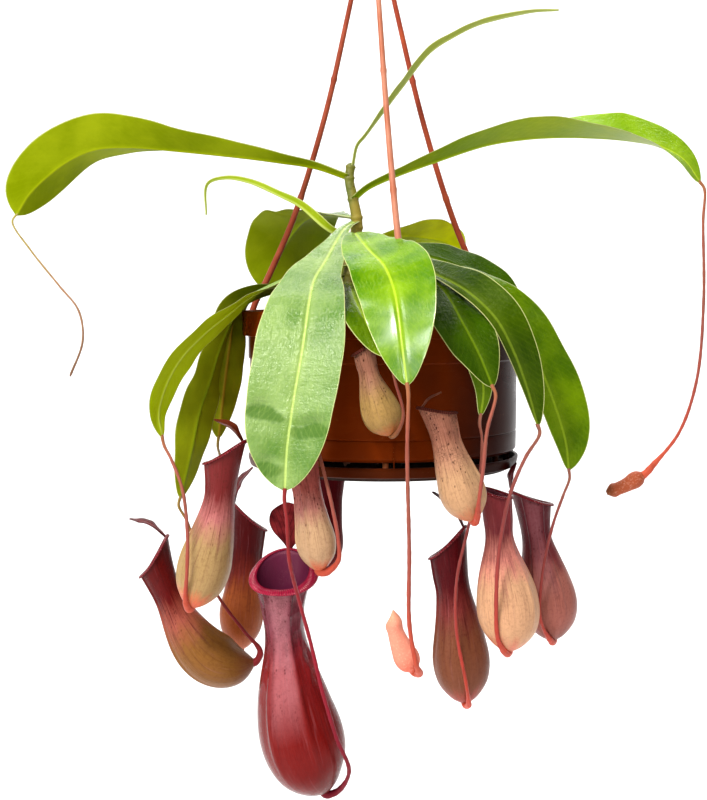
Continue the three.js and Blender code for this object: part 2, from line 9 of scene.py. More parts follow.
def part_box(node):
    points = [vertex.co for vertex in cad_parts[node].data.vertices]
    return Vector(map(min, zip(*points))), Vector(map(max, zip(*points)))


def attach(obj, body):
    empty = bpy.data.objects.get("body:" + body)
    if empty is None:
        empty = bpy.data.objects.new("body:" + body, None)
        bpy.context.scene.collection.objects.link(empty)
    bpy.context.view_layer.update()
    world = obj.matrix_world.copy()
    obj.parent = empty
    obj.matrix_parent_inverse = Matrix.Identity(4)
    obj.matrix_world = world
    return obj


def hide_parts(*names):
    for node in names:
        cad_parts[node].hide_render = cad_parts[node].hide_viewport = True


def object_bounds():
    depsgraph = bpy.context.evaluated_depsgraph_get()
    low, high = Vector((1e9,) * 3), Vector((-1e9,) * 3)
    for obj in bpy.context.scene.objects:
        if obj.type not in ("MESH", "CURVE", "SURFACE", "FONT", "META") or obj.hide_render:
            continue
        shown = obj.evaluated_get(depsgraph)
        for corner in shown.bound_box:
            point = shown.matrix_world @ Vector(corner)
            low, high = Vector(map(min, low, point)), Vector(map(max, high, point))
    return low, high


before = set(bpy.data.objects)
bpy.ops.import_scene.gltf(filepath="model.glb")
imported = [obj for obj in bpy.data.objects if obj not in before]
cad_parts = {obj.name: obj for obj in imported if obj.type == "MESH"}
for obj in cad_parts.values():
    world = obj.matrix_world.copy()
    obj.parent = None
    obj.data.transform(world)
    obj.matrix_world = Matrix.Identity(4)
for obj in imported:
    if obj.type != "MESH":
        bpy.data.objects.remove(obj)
cad_low, cad_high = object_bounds()

# ---- Camera ----
# A short telephoto a little above the pot's rim, looking slightly down at the front.
def linked(name, data):
    """A new object of the scene."""
    made = bpy.data.objects.new(name, data)
    bpy.context.scene.collection.objects.link(made)
    return made


LENS, LOOKS_DOWN = 67.2, 4.25
camera_data = bpy.data.cameras.new("camera")
camera_data.lens = LENS
camera = linked("camera", camera_data)
camera.location = (-0.0098, -0.7978, -0.2457)
camera.rotation_euler = (math.radians(90 - LOOKS_DOWN), 0, 0)
bpy.context.scene.camera = camera
bpy.context.scene.view_settings.view_transform = "Standard"


# ---- Studio ----
# The plant hangs clear of a pale matt floor that sweeps up into a wall behind it. A wide soft
# light shines from above the front, and small ones at its sides are what the leaves mirror.
# Two fills light the sides, and weak lights the back and the wall.
class Value:
    """A shader socket. An expression on values adds the Math nodes that work it out."""

    def __init__(self, finish, socket):
        self.finish = finish
        self.socket = socket

    def maths(self, operation, *numbers):
        return self.finish.node("ShaderNodeMath", numbers, operation=operation)

    def __add__(self, other):
        return self.maths("ADD", self, other)

    def __sub__(self, other):
        return self.maths("SUBTRACT", self, other)

    def __rsub__(self, other):
        return self.maths("SUBTRACT", other, self)

    def __mul__(self, other):
        return self.maths("MULTIPLY", self, other)

    __radd__ = __add__
    __rmul__ = __mul__

    def sine(self):
        return self.maths("SINE", self)

    def fade(self, start, end):
        """0 at start, 1 at end and smooth between."""
        inputs = {"Value": self, "From Min": start, "From Max": end}
        return self.finish.node("ShaderNodeMapRange", inputs, interpolation_type="SMOOTHSTEP")


def tint(shade):
    """A linear colour from the three 0 to 255 numbers of a colour chart. Others pass through."""
    if isinstance(shade, Value) or len(shade) == 4:
        return shade
    shares = [channel / 255 for channel in shade]
    return (*[s / 12.92 if s <= 0.04045 else ((s + 0.055) / 1.055) ** 2.4 for s in shares], 1.0)


class Finish:
    """A material: one Principled surface and the nodes behind its sockets."""

    def __init__(self, name, **constants):
        self.material = bpy.data.materials.new(name)
        self.material.use_nodes = True
        self.tree = self.material.node_tree
        self.surface = self.tree.nodes["Principled BSDF"]
        self.set(**constants)

    def feed(self, socket, value):
        if isinstance(value, Value):
            self.tree.links.new(value.socket, socket)
        else:
            socket.default_value = value

    def set(self, **sockets):
        for name, value in sockets.items():
            self.feed(self.surface.inputs[name.replace("_", " ")], value)

    def node(self, kind, inputs=(), output=0, stops=None, **settings):
        """Makes a node, applies its settings and then the values or links of its inputs."""
        made = self.tree.nodes.new(kind)
        for name, value in settings.items():
            setattr(made, name, value)
        if stops:
            ramp = made.color_ramp.elements
            while len(ramp) < len(stops):
                ramp.new(1.0)
            for element, (position, shade) in zip(ramp, stops):
                element.position = position
                element.color = tint(shade)
        for key, value in inputs.items() if isinstance(inputs, dict) else enumerate(inputs):
            self.feed(made.inputs[key], value)
        return Value(self, made.outputs[output])

    def place(self):
        return self.node("ShaderNodeTexCoord", output="Object")

    def attribute(self, name, output="Fac"):
        return self.node("ShaderNodeAttribute", output=output, attribute_name=name)

    def noise(self, vector, scale, detail=3.0, roughness=0.55):
        inputs = {"Vector": vector, "Scale": scale, "Detail": detail, "Roughness": roughness}
        return self.node("ShaderNodeTexNoise", inputs)

    def cells(self, vector, scale, feature="F1"):
        inputs = {"Vector": vector, "Scale": scale}
        return self.node("ShaderNodeTexVoronoi", inputs, output="Distance", feature=feature)

    def vector(self, operation, *inputs, output=0):
        return self.node("ShaderNodeVectorMath", inputs, output, operation=operation)

    def stretch(self, vector, factors):
        return self.vector("MULTIPLY", vector, factors)

    def blend(self, share, first, second, blend_type="MIX"):
        inputs = {0: share, 6: tint(first), 7: tint(second)}
        return self.node("ShaderNodeMix", inputs, output=2, data_type="RGBA", blend_type=blend_type)

    def paint(self, share, shade, bare=None):
        """Lays a shade over the colour so far, or over a bare one, by a share from 0 to 1."""
        self.colour = self.blend(share, bare or self.colour, shade)
        self.set(Base_Color=self.colour)

    def relief(self, height, distance, strength=1.0):
        inputs = {"Height": height, "Distance": distance, "Strength": strength}
        self.set(Normal=self.node("ShaderNodeBump", inputs))


def new_object(name, mesh, *materials, smooth=True):
    """An object at the origin with its place in its mesh."""
    piece = linked(name, mesh)
    for material in materials:
        mesh.materials.append(material)
    if smooth:
        mesh.shade_smooth()
    return piece


FLOOR, FRONT_EDGE = cad_low.z - 0.16, -3.0
WALL_AT, WALL_HEIGHT, HALF_WIDTH = 1.3, 4.0, 4.0
SWEEP_RADIUS, SWEEP_STEPS = 0.5, 12
sweep = [(FRONT_EDGE, FLOOR)]
for step in range(SWEEP_STEPS + 1):
    turn = math.radians(90 * step / SWEEP_STEPS)
    depth = WALL_AT - SWEEP_RADIUS + SWEEP_RADIUS * math.sin(turn)
    sweep.append((depth, FLOOR + SWEEP_RADIUS * (1 - math.cos(turn))))
sweep.append((WALL_AT, FLOOR + WALL_HEIGHT))
studio_mesh = bpy.data.meshes.new("studio_sweep")
studio_mesh.from_pydata(
    [(x, y, z) for y, z in sweep for x in (-HALF_WIDTH, HALF_WIDTH)], [],
    [(2 * i, 2 * i + 1, 2 * i + 3, 2 * i + 2) for i in range(len(sweep) - 1)],
)
paper = Finish("matt_paper", Roughness=0.95)
mottle = paper.noise(paper.place(), 6.0)
paper.paint(mottle, (249, 249, 249), (244, 244, 243))
paper.relief(paper.noise(paper.place(), 900.0), 0.0002, 0.3)
new_object("studio_sweep", studio_mesh, paper.material)


def soft_light(name, place, target, size, power, shade=(1.0, 1.0, 1.0)):
    """A soft box of a width and height in metres and a power in watts, facing a target."""
    light = bpy.data.lights.new(name, "AREA")
    light.shape = "RECTANGLE"
    light.size, light.size_y = size
    light.energy = power
    light.color = shade
    lamp = linked(name, light)
    lamp.location = place
    lamp.rotation_euler = (Vector(place) - Vector(target)).to_track_quat("Z", "Y").to_euler()


middle = (cad_low + cad_high) / 2
LIGHTS = {
    "window": ((-0.34, -0.74, 0.43), (0.14, 0.12), 6.5),
    "left_glint": ((-0.57, -0.8, 0.16), (0.2, 0.26), 3.6),
    "brow": ((-0.1, -1.02, 0.08), (0.14, 0.12), 1.4),
    "right_glint": ((0.5, -0.75, 0.3), (0.1, 0.14), 1.6),
    "left_fill": ((-1.3, -0.9, -0.2), (0.7, 0.9), 6.6),
    "right_fill": ((1.3, -0.8, 0.0), (0.7, 0.9), 1.6),
    "rear": ((0.3, 0.9, 0.7), (1.0, 0.5), 6.0),
}
soft_light("sky", (-0.55, -0.7, 0.75), middle, (0.45, 0.35), 8.8, (1.0, 0.99, 0.95))
for name, (place, size, power) in LIGHTS.items():
    soft_light(name, place, middle, size, power)
soft_light("paper_glow", (0.0, 0.55, 1.4), (0.0, WALL_AT, -0.4), (2.4, 0.4), 30.0)
world = bpy.data.worlds.new("studio")
world.use_nodes = True
air = world.node_tree.nodes["Background"].inputs
air["Color"].default_value = (0.97, 0.98, 1.0, 1.0)
air["Strength"].default_value = 0.27
bpy.context.scene.world = world


# ---- Pot ----
# A moulded polypropylene pot in glossy terracotta brown, turned about its axis, with a
# raised rim, a band under it, a parting line near its foot and soft scuffs. Its brown is painted
# shade: darker than the plastic's own, as it looks under the leaves.
MM = 0.001


class Shells:
    """Closed shells gathered into one mesh, with a finish for each and numbers at their points."""

    def __init__(self):
        self.points = []
        self.faces = []
        self.finishes = []
        self.numbers = {}
        self.count = 0

    def loft(self, rings, finish=0, loop=False, **numbers):
        """Skins rings of points in millimetres, capped at both ends unless they close a loop."""
        rings = np.asarray(rings, float)
        rows, around = rings.shape[:2]
        index = np.arange(rows * around).reshape(rows, around)
        ahead = np.roll(index, -1, axis=0) if loop else index[1:]
        here = index if loop else index[:-1]
        quads = np.stack(
            [here, np.roll(here, -1, axis=1), np.roll(ahead, -1, axis=1), ahead], axis=-1
        ).reshape(-1, 4)
        flat = rings.reshape(-1, 3)
        a, b, c, d = (flat[quads[:, k]] for k in range(4))
        volume = np.einsum("ij,ij->", a, np.cross(b, c)) + np.einsum("ij,ij->", a, np.cross(c, d))
        faces = quads.tolist()
        if not loop:
            faces += [index[0][::-1].tolist(), index[-1].tolist()]
        if volume < 0:
            faces = [face[::-1] for face in faces]
        self.faces += [[corner + self.count for corner in face] for face in faces]
        self.finishes += [finish] * len(faces)
        self.points.append(flat * MM)
        for name, values in numbers.items():
            parts = self.numbers.setdefault(name, [])
            parts.append((self.count, np.broadcast_to(values, (rows, around)).reshape(-1)))
        self.count += len(flat)

    def mesh(self, name):
        made = bpy.data.meshes.new(name)
        made.from_pydata(np.vstack(self.points).tolist(), [], self.faces)
        made.polygons.foreach_set("material_index", self.finishes)
        for label, parts in self.numbers.items():
            values = np.zeros(self.count, np.float32)
            for start, part in parts:
                values[start:start + len(part)] = part
            made.attributes.new(label, "FLOAT", "POINT").data.foreach_set("value", values)
        return made


def softened(profile, radius):
    """A closed profile whose corners are rounded, as moulded plastic's are."""
    corners = np.array(profile, float)
    made = []
    for before, corner, after in zip(np.roll(corners, 1, 0), corners, np.roll(corners, -1, 0)):
        ways = [before - corner, after - corner]
        lengths = [np.linalg.norm(way) for way in ways]
        cut = min(radius, *[length * 0.45 for length in lengths])
        start, end = (corner + way / length * cut for way, length in zip(ways, lengths))
        for t in (0.0, 0.3, 0.7, 1.0):
            made.append((1 - t) ** 2 * start + 2 * t * (1 - t) * corner + t ** 2 * end)
    return np.array(made)


def turned(name, profile, axis_x, material, radius=0.5, segments=180):
    """A ring of a closed profile of radius and height, in millimetres, about an upright axis."""
    outline = softened(profile, radius)
    turns = np.linspace(0, 2 * np.pi, segments, endpoint=False)[:, None]
    x = axis_x + outline[:, 0] * np.cos(turns)
    y = outline[:, 0] * np.sin(turns)
    z = np.broadcast_to(outline[:, 1], x.shape)
    shells = Shells()
    shells.loft(np.stack([x, y, z], axis=-1), loop=True)
    mesh = shells.mesh(name)
    piece = new_object(name, mesh, material)
    mesh.set_sharp_from_angle(angle=math.radians(50))
    return piece


def built(piece, node):
    """Hangs a piece with the rest and hides the CAD node that it stands for."""
    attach(piece, "root")
    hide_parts(node)


def moulded_plastic(name, lit, deep, gloss, shaded_within=0.0):
    """Semi-gloss terracotta plastic with flow marks, fine scratches, dust, scuffs and painted shade."""
    plastic = Finish(name, Specular_IOR_Level=0.06, Specular_Tint=(1.0, 0.4, 0.25, 1.0))
    place = plastic.place()
    upright = plastic.stretch(place, (34.0, 34.0, 3.0))
    flow = plastic.noise(upright, 1.0, 2.0).fade(0.35, 0.7)
    cloud = plastic.noise(place, 22.0, 4.0).fade(0.3, 0.75)
    plastic.paint(flow * 0.6 + cloud * 0.4, lit, deep)
    # Painted shade: towards its +X side the plastic is painted nearly black, as the side away from the
    # lights looks.
    across = plastic.node("ShaderNodeSeparateXYZ", [place], output="X") + cloud * 0.012
    plastic.paint(across.fade(0.02, 0.07) * 0.95, (26, 3, 2))
    dust = plastic.noise(place, 160.0, 5.0, 0.7).fade(0.62, 0.8)
    plastic.paint(dust * 0.12, (176, 130, 96))
    scratch = plastic.noise(plastic.stretch(place, (90.0, 90.0, 900.0)), 1.0, 3.0).fade(0.6, 0.75)
    grain = plastic.noise(place, 1500.0, 2.0)
    beside = plastic.stretch(place, (1.0, 1.0, 0.0))
    beside = plastic.vector("SUBTRACT", beside, (POT_X * MM, 0, 0))
    beside = plastic.vector("LENGTH", beside, output="Value")
    # Painted shade: inside this radius, on the pot's underside and inner wall and in the saucer's tray,
    # the plastic is painted near black and dulled, as the gap under the pot and the pot's inside look.
    hollow_shade = beside.fade(shaded_within * MM, (shaded_within - 0.6) * MM)
    plastic.paint(hollow_shade, (34, 20, 14))
    plastic.set(Roughness=cloud * 0.16 + scratch * 0.1 + hollow_shade * 0.6 + gloss)
    plastic.relief(grain * 0.2 + scratch * 0.2 + flow * 0.6, 0.0003, 0.4)
    return plastic.material


def box_in_mm(node):
    return [np.array(corner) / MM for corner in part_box(node)]


pot_low, pot_high = box_in_mm("hanging_pot")
mix_low, mix_high = box_in_mm("potting_mix")
POT_X, RIM = (pot_low[0] + pot_high[0]) / 2, (pot_high[0] - pot_low[0]) / 2
MIX_GAP, WALL, RIM_OVERHANG, BAND_RAISED = 0.3, 2.2, 4.0, 0.8
RIM_TOP, POT_FLOOR = pot_high[2], mix_low[2] - MIX_GAP
RIM_FOOT, BAND_FOOT, GROOVE = RIM_TOP - 13.0, RIM_TOP - 25.5, RIM_TOP - 63.0
OUTSIDE, CENTRE_HOLE = RIM - RIM_OVERHANG, 2.0
pot_foot, inside = POT_FLOOR - WALL, OUTSIDE - WALL
# Painted shade: the pot's browns are darker than the plastic's own, as it looks under the leaves.
terracotta = moulded_plastic("terracotta_plastic", (124, 46, 4), (88, 28, 2), 0.24, OUTSIDE - 1.6)
pot = turned("pot_shell", [
    (CENTRE_HOLE, pot_foot), (OUTSIDE - 2, pot_foot), (OUTSIDE - 0.2, pot_foot + 1.8),
    (OUTSIDE, GROOVE - 0.5), (OUTSIDE - 0.7, GROOVE), (OUTSIDE, GROOVE + 0.5), (OUTSIDE, BAND_FOOT),
    (OUTSIDE + BAND_RAISED, BAND_FOOT + 0.5), (OUTSIDE + BAND_RAISED, RIM_FOOT), (RIM, RIM_FOOT),
    (RIM, RIM_TOP), (RIM - WALL, RIM_TOP), (RIM - WALL, RIM_FOOT + 4), (inside, RIM_FOOT),
    (inside, POT_FLOOR), (CENTRE_HOLE, POT_FLOOR),
], POT_X, terracotta)
built(pot, "hanging_pot")


def block(name, size, centre, material, bevel=0.0, degrees=0.0):
    """A block in millimetres, turned with its place about the pot's axis, as a ridge or clip."""
    made = bmesh.new()
    bmesh.ops.create_cube(made, size=1.0)
    bmesh.ops.scale(made, vec=Vector(size) * MM, verts=made.verts)
    if bevel:
        bmesh.ops.bevel(made, geom=made.edges, offset=bevel * MM, segments=3, affect="EDGES")
    bmesh.ops.translate(made, vec=Vector(centre) * MM, verts=made.verts)
    turn = Matrix.Rotation(math.radians(degrees), 3, "Z")
    bmesh.ops.rotate(made, matrix=turn, verts=made.verts)
    bmesh.ops.translate(made, vec=Vector((POT_X, 0, 0)) * MM, verts=made.verts)
    mesh = bpy.data.meshes.new(name)
    made.to_mesh(mesh)
    made.free()
    return new_object(name, mesh, material, smooth=bevel > 0)


SEAM_SIZE, SEAM_X, SEAM_DROP = (0.45, 0.8, 15.0), 10 - POT_X, 71.5
seam_place = (SEAM_X, -math.sqrt(OUTSIDE ** 2 - SEAM_X ** 2), RIM_TOP - SEAM_DROP)
seam = block("parting_seam", SEAM_SIZE, seam_place, terracotta)
built(seam, "hanging_pot")


# ---- Snap studs ----
# Short pegs under the pot that the saucer clips onto, small light dots in the dark gap above
# it. Each is a moulded cylinder on one point of a ring.
class Growth:
    """A tree of geometry nodes with named inputs, and the plain mesh that it makes."""

    def __init__(self, name, **inputs):
        self.tree = bpy.data.node_groups.new(name, "GeometryNodeTree")
        sockets = self.tree.interface
        sockets.new_socket(name="Geometry", in_out="OUTPUT", socket_type="NodeSocketGeometry")
        sockets.new_socket(name="Geometry", in_out="INPUT", socket_type="NodeSocketGeometry")
        for label, kind in {**inputs, "Material": "Material"}.items():
            sockets.new_socket(name=label, in_out="INPUT", socket_type="NodeSocket" + kind)
        self.given = self.tree.nodes.new("NodeGroupInput").outputs
        self.result = self.tree.nodes.new("NodeGroupOutput").inputs

    def node(self, kind, inputs, output=0, **settings):
        made = self.tree.nodes.new(kind)
        for name, value in settings.items():
            setattr(made, name, value)
        for key, value in inputs.items():
            if isinstance(value, bpy.types.NodeSocket):
                self.tree.links.new(value, made.inputs[key])
            else:
                made.inputs[key].default_value = value
        return made.outputs[output]

    def close(self, geometry):
        """Ends the tree with real copies and one material."""
        real = self.node("GeometryNodeRealizeInstances", {"Geometry": geometry})
        inputs = {"Geometry": real, "Material": self.given["Material"]}
        self.tree.links.new(self.node("GeometryNodeSetMaterial", inputs), self.result[0])

    def grow(self, name, mesh, **values):
        """The plain object that the tree makes from a starting mesh."""
        seed = linked(name + "_start", mesh)
        modifier = seed.modifiers.new("growth", "NODES")
        modifier.node_group = self.tree
        for item in self.tree.interface.items_tree:
            if item.in_out == "INPUT" and item.name in values:
                modifier[item.identifier] = values[item.name]
        graph = bpy.context.evaluated_depsgraph_get()
        grown = bpy.data.meshes.new_from_object(
            seed.evaluated_get(graph), preserve_all_data_layers=True, depsgraph=graph
        )
        bpy.data.objects.remove(seed)
        grown.name = name
        return new_object(name, grown)


STUDS, STUD_CIRCLE, STUD_RADIUS, STUD_FOOT = 12, 66.0, 1.6, pot_low[2]
pegs = Growth("ring_of_pegs", Count="Int", Circle="Float", Radius="Float", Height="Float")
given = pegs.given
ring = pegs.node("GeometryNodeMeshCircle", {"Vertices": given["Count"], "Radius": given["Circle"]})
peg = pegs.node("GeometryNodeMeshCylinder", {
    "Vertices": 20, "Side Segments": 4, "Radius": given["Radius"], "Depth": given["Height"],
})
pegs.close(pegs.node("GeometryNodeInstanceOnPoints", {"Points": ring, "Instance": peg}))
peg_height = pot_foot - STUD_FOOT + 1.0
# Painted light: the studs' browns are lighter than the plastic's own, as they catch the light in the dark
# gap.
studs = pegs.grow(
    "snap_studs", bpy.data.meshes.new("peg_seed"), Count=STUDS, Circle=STUD_CIRCLE * MM,
    Radius=STUD_RADIUS * MM, Height=peg_height * MM,
    Material=moulded_plastic("lit_stud_plastic", (190, 112, 70), (150, 80, 45), 0.3),
)
for vertex in studs.data.vertices:
    vertex.co += Vector((POT_X, 0.0, STUD_FOOT + peg_height / 2)) * MM
built(studs, "hanging_pot")


# ---- Saucer ----
# A shallow tray of the same plastic that snaps onto the studs and catches the water.
saucer_low, saucer_high = box_in_mm("clip_on_saucer")
SAUCER = (saucer_high[0] - saucer_low[0]) / 2
TRAY, TRAY_WALL, TRAY_TOP, TRAY_FOOT = 1.8, 1.7, saucer_high[2], saucer_low[2]
# Painted shade: the saucer's browns are darker than the pot's, as the tray looks under the pot.
saucer = turned("drip_saucer", [
    (CENTRE_HOLE, TRAY_FOOT), (SAUCER - 6, TRAY_FOOT), (SAUCER - 1, TRAY_FOOT + 2.2),
    (SAUCER, TRAY_TOP - 1.5), (SAUCER, TRAY_TOP), (SAUCER - TRAY_WALL, TRAY_TOP),
    (SAUCER - TRAY_WALL, TRAY_FOOT + TRAY), (CENTRE_HOLE, TRAY_FOOT + TRAY),
], POT_X, moulded_plastic("shaded_saucer_plastic", (80, 30, 6), (58, 18, 4), 0.3, SAUCER - 1.5), 0.4)
built(saucer, "clip_on_saucer")


# ---- Potting mix ----
# Loose bark chips and peat heaped a little below the rim. The heap is a lumpy mound, and
# the chips are scattered over it and turned every way.
MIX_RADIUS, MIX_TOP = (mix_high[0] - mix_low[0]) / 2, mix_high[2]
rings_of_mix = []
turns = np.linspace(0, 2 * np.pi, 72, endpoint=False)
for radius in (3, 8, 14, 21, 28, 35, 42, 49, 56, 62, MIX_RADIUS - 1, MIX_RADIUS):
    lump = 0.9 * np.sin(0.19 * radius + 3 * turns) + 0.7 * np.sin(0.11 * radius - 5 * turns)
    fall = 4.0 * max(0.0, radius - 30) / 30
    height = MIX_TOP - 0.8 - fall + lump
    if radius == MIX_RADIUS:
        height = np.full_like(turns, mix_low[2])
    spots = [POT_X + radius * np.cos(turns), radius * np.sin(turns), height]
    rings_of_mix.append(np.stack(spots, axis=-1))
mound = Shells()
mound.loft(rings_of_mix)

bark = Finish("bark_and_peat", Roughness=0.9)
bark_place = bark.place()
bark_tone = bark.noise(bark_place, 120.0, 4.0).fade(0.3, 0.75)
bark.paint(bark_tone, (110, 66, 42), (38, 22, 15))
fibre = bark.noise(bark.stretch(bark_place, (300.0, 1200.0, 1200.0)), 1.0, 4.0)
bark.paint(fibre.fade(0.55, 0.8) * 0.5, (140, 100, 70))
bark.relief(fibre + bark_tone, 0.0006, 0.8)

chips = Growth("scattered_chips", Density="Float", Seed="Int", Size="Float")
given = chips.given
on_top = chips.node("FunctionNodeCompare", {
    0: chips.node("ShaderNodeSeparateXYZ", {0: chips.node("GeometryNodeInputNormal", {})}, "Z"),
    1: 0.5,
}, data_type="FLOAT", operation="GREATER_THAN")
scattered = chips.node("GeometryNodeDistributePointsOnFaces", {
    "Mesh": given["Geometry"], "Selection": on_top, "Density": given["Density"], "Seed": given["Seed"],
})
lump_of_bark = chips.node("GeometryNodeMeshIcoSphere", {"Radius": 1.0, "Subdivisions": 2})
turned_any_way = chips.node("FunctionNodeRandomValue", {
    0: (0.0, 0.0, 0.0), 1: (6.28, 6.28, 6.28), "Seed": given["Seed"],
}, data_type="FLOAT_VECTOR")
flake = chips.node("FunctionNodeRandomValue", {
    0: (0.5, 0.35, 0.2), 1: (1.6, 0.9, 0.5), "Seed": given["Seed"],
}, data_type="FLOAT_VECTOR")
flake = chips.node("ShaderNodeVectorMath", {0: flake, "Scale": given["Size"]}, operation="SCALE")
laid = chips.node("GeometryNodeInstanceOnPoints", {
    "Points": scattered, "Instance": lump_of_bark, "Rotation": turned_any_way, "Scale": flake,
})
laid = chips.node("GeometryNodeRealizeInstances", {"Geometry": laid})
rough_edge = chips.node("ShaderNodeTexNoise", {"Scale": 260.0}, output="Color")
rough_edge = chips.node("ShaderNodeVectorMath", {0: rough_edge, 1: (0.5, 0.5, 0.5)}, operation="SUBTRACT")
rough_edge = chips.node("ShaderNodeVectorMath", {0: rough_edge, "Scale": 0.004}, operation="SCALE")
laid = chips.node("GeometryNodeSetPosition", {"Geometry": laid, "Offset": rough_edge})
joined = chips.tree.nodes.new("GeometryNodeJoinGeometry")
chips.tree.links.new(given["Geometry"], joined.inputs[0])
chips.tree.links.new(laid, joined.inputs[0])
chips.close(joined.outputs[0])
heap = chips.grow(
    "bark_heap", mound.mesh("mound"), Density=42000.0, Seed=4, Size=3.2 * MM, Material=bark.material
)
built(heap, "potting_mix")


# ---- Hanger ----
# A hook, a hub and three tapering strands of faded pink-terracotta plastic. Each strand ends
# in a clip: a bevelled barb that catches under the edge of the pot's rim.
def unit(vectors):
    return vectors / np.linalg.norm(vectors, axis=-1, keepdims=True)


def distances(spots):
    """How far each place along a line is from its start."""
    return np.concatenate([[0.0], np.cumsum(np.linalg.norm(np.diff(spots, axis=0), axis=1))])


def span(start, end, leave, reach, share):
    """Places on a smooth span between two points, from the speeds at its ends."""
    bend = 3 * (end - start) - 2 * leave - reach
    return start + share * leave + share ** 2 * bend + share ** 3 * (end - start - leave - bend)


def ease(share):
    return share ** 2 * (3 - 2 * share)


def level_way(degrees):
    """The level direction that is so many degrees round from straight back."""
    return np.array([-math.sin(math.radians(degrees)), math.cos(math.radians(degrees)), 0.0])


def rounded_end(share, start, length):
    """What a stalk's radius is multiplied by to close its end in a dome."""
    return np.sqrt(1 - np.clip((share - start) / length, 0, 1) ** 2)


def smooth_path(points, count):
    """Even places along a smooth line, the direction at each and the distance from the start."""
    points = np.asarray(points, float)
    ends = [2 * points[0] - points[1], *points, 2 * points[-1] - points[-2]]
    share = np.linspace(0, 1, 40, endpoint=False)[:, None]
    fine = []
    for p0, p1, p2, p3 in zip(ends, ends[1:], ends[2:], ends[3:]):
        d0, d1, d2 = (np.linalg.norm(b - a) ** 0.5 for a, b in ((p0, p1), (p1, p2), (p2, p3)))
        leave = d1 * ((p1 - p0) / d0 - (p2 - p0) / (d0 + d1) + (p2 - p1) / d1)
        reach = d1 * ((p2 - p1) / d1 - (p3 - p1) / (d1 + d2) + (p3 - p2) / d2)
        fine.append(span(p1, p2, leave, reach, share))
    fine = np.vstack([*fine, points[-1:]])
    run = distances(fine)
    even = np.linspace(0, run[-1], count)
    spots = np.stack([np.interp(even, run, fine[:, k]) for k in range(3)], axis=-1)
    return spots, unit(np.gradient(spots, axis=0)), even


stalks = Growth("stalk_along_line", Sides="Int")
line = stalks.node("GeometryNodeMeshToCurve", {"Mesh": stalks.given["Geometry"]})
thick = stalks.node("GeometryNodeInputNamedAttribute", {"Name": "thick"}, data_type="FLOAT")
section = stalks.node("GeometryNodeCurvePrimitiveCircle", {
    "Resolution": stalks.given["Sides"], "Radius": 1.0,
}, mode="RADIUS")
stalks.close(stalks.node("GeometryNodeCurveToMesh", {
    "Curve": line, "Profile Curve": section, "Scale": thick, "Fill Caps": True,
}))


def stalk(name, spots, radii, material, sides=20):
    """A round stalk along places in millimetres, with its radius at each of them."""
    run = distances(spots)
    middle_line = bpy.data.meshes.new(name + "_line")
    links = [(i, i + 1) for i in range(len(spots) - 1)]
    middle_line.from_pydata((np.asarray(spots) * MM).tolist(), links, [])
    for label, values in {"thick": np.asarray(radii) * MM, "run": run / run[-1]}.items():
        middle_line.attributes.new(label, "FLOAT", "POINT").data.foreach_set("value", values)
    return stalks.grow(name, middle_line, Sides=sides, Material=material)


def hanger_plastic(name, pale, worn, deep):
    """Faded plastic with flow lines, scuffs and grime that has settled here and there."""
    plastic = Finish(name, Specular_IOR_Level=0.2, Specular_Tint=(1.0, 0.6, 0.5, 1.0))
    place = plastic.place()
    cloud = plastic.noise(place, 60.0, 4.0).fade(0.3, 0.7)
    plastic.paint(cloud, pale, worn)
    grime = plastic.noise(place, 240.0, 5.0, 0.7).fade(0.56, 0.78)
    plastic.paint(grime * 0.3, deep)
    plastic.set(Roughness=cloud * 0.15 + grime * 0.25 + 0.3)
    plastic.relief(plastic.noise(place, 900.0, 3.0) + cloud, 0.0003, 0.5)
    return plastic.material


HOOK_WIRE, HOOK_REACH = 2.3, 10.0
HUB_TOP, HUB_FOOT = -44.0, -52.0
bend = HOOK_REACH + HOOK_WIRE
arc = [
    (bend * math.cos(math.radians(turn)), 0, bend * math.sin(math.radians(turn)) - HOOK_REACH)
    for turn in (200, 165, 130, 95, 60, 25, 0)
]
hook_line, _, hook_run = smooth_path(
    [*arc, (11.5, 0, -20), (6, 0, -30), (0.5, 0, -37), (0, 0, HUB_TOP - 3)], 160
)
hook_start = np.clip(hook_run / 1.6, 0.0, 1.0)
hook_radii = HOOK_WIRE * np.sqrt(hook_start * (2 - hook_start))
hook_finish = hanger_plastic("hanger_plastic", (205, 128, 104), (176, 92, 68), (96, 48, 34))
hook = stalk("hanger_hook_rod", hook_line, np.maximum(hook_radii, 0.05), hook_finish, 32)
built(hook, "hanger_hook")
hub = turned("hanger_hub", [
    (0.2, HUB_FOOT), (4.6, HUB_FOOT), (5.0, HUB_FOOT + 0.6), (4.6, HUB_FOOT + 2.6),
    (4.9, HUB_FOOT + 3.4), (3.4, HUB_TOP - 1.2), (3.0, HUB_TOP), (0.2, HUB_TOP),
], 0.0, hook_finish, 0.5, 64)
built(hub, "hanger_hook")
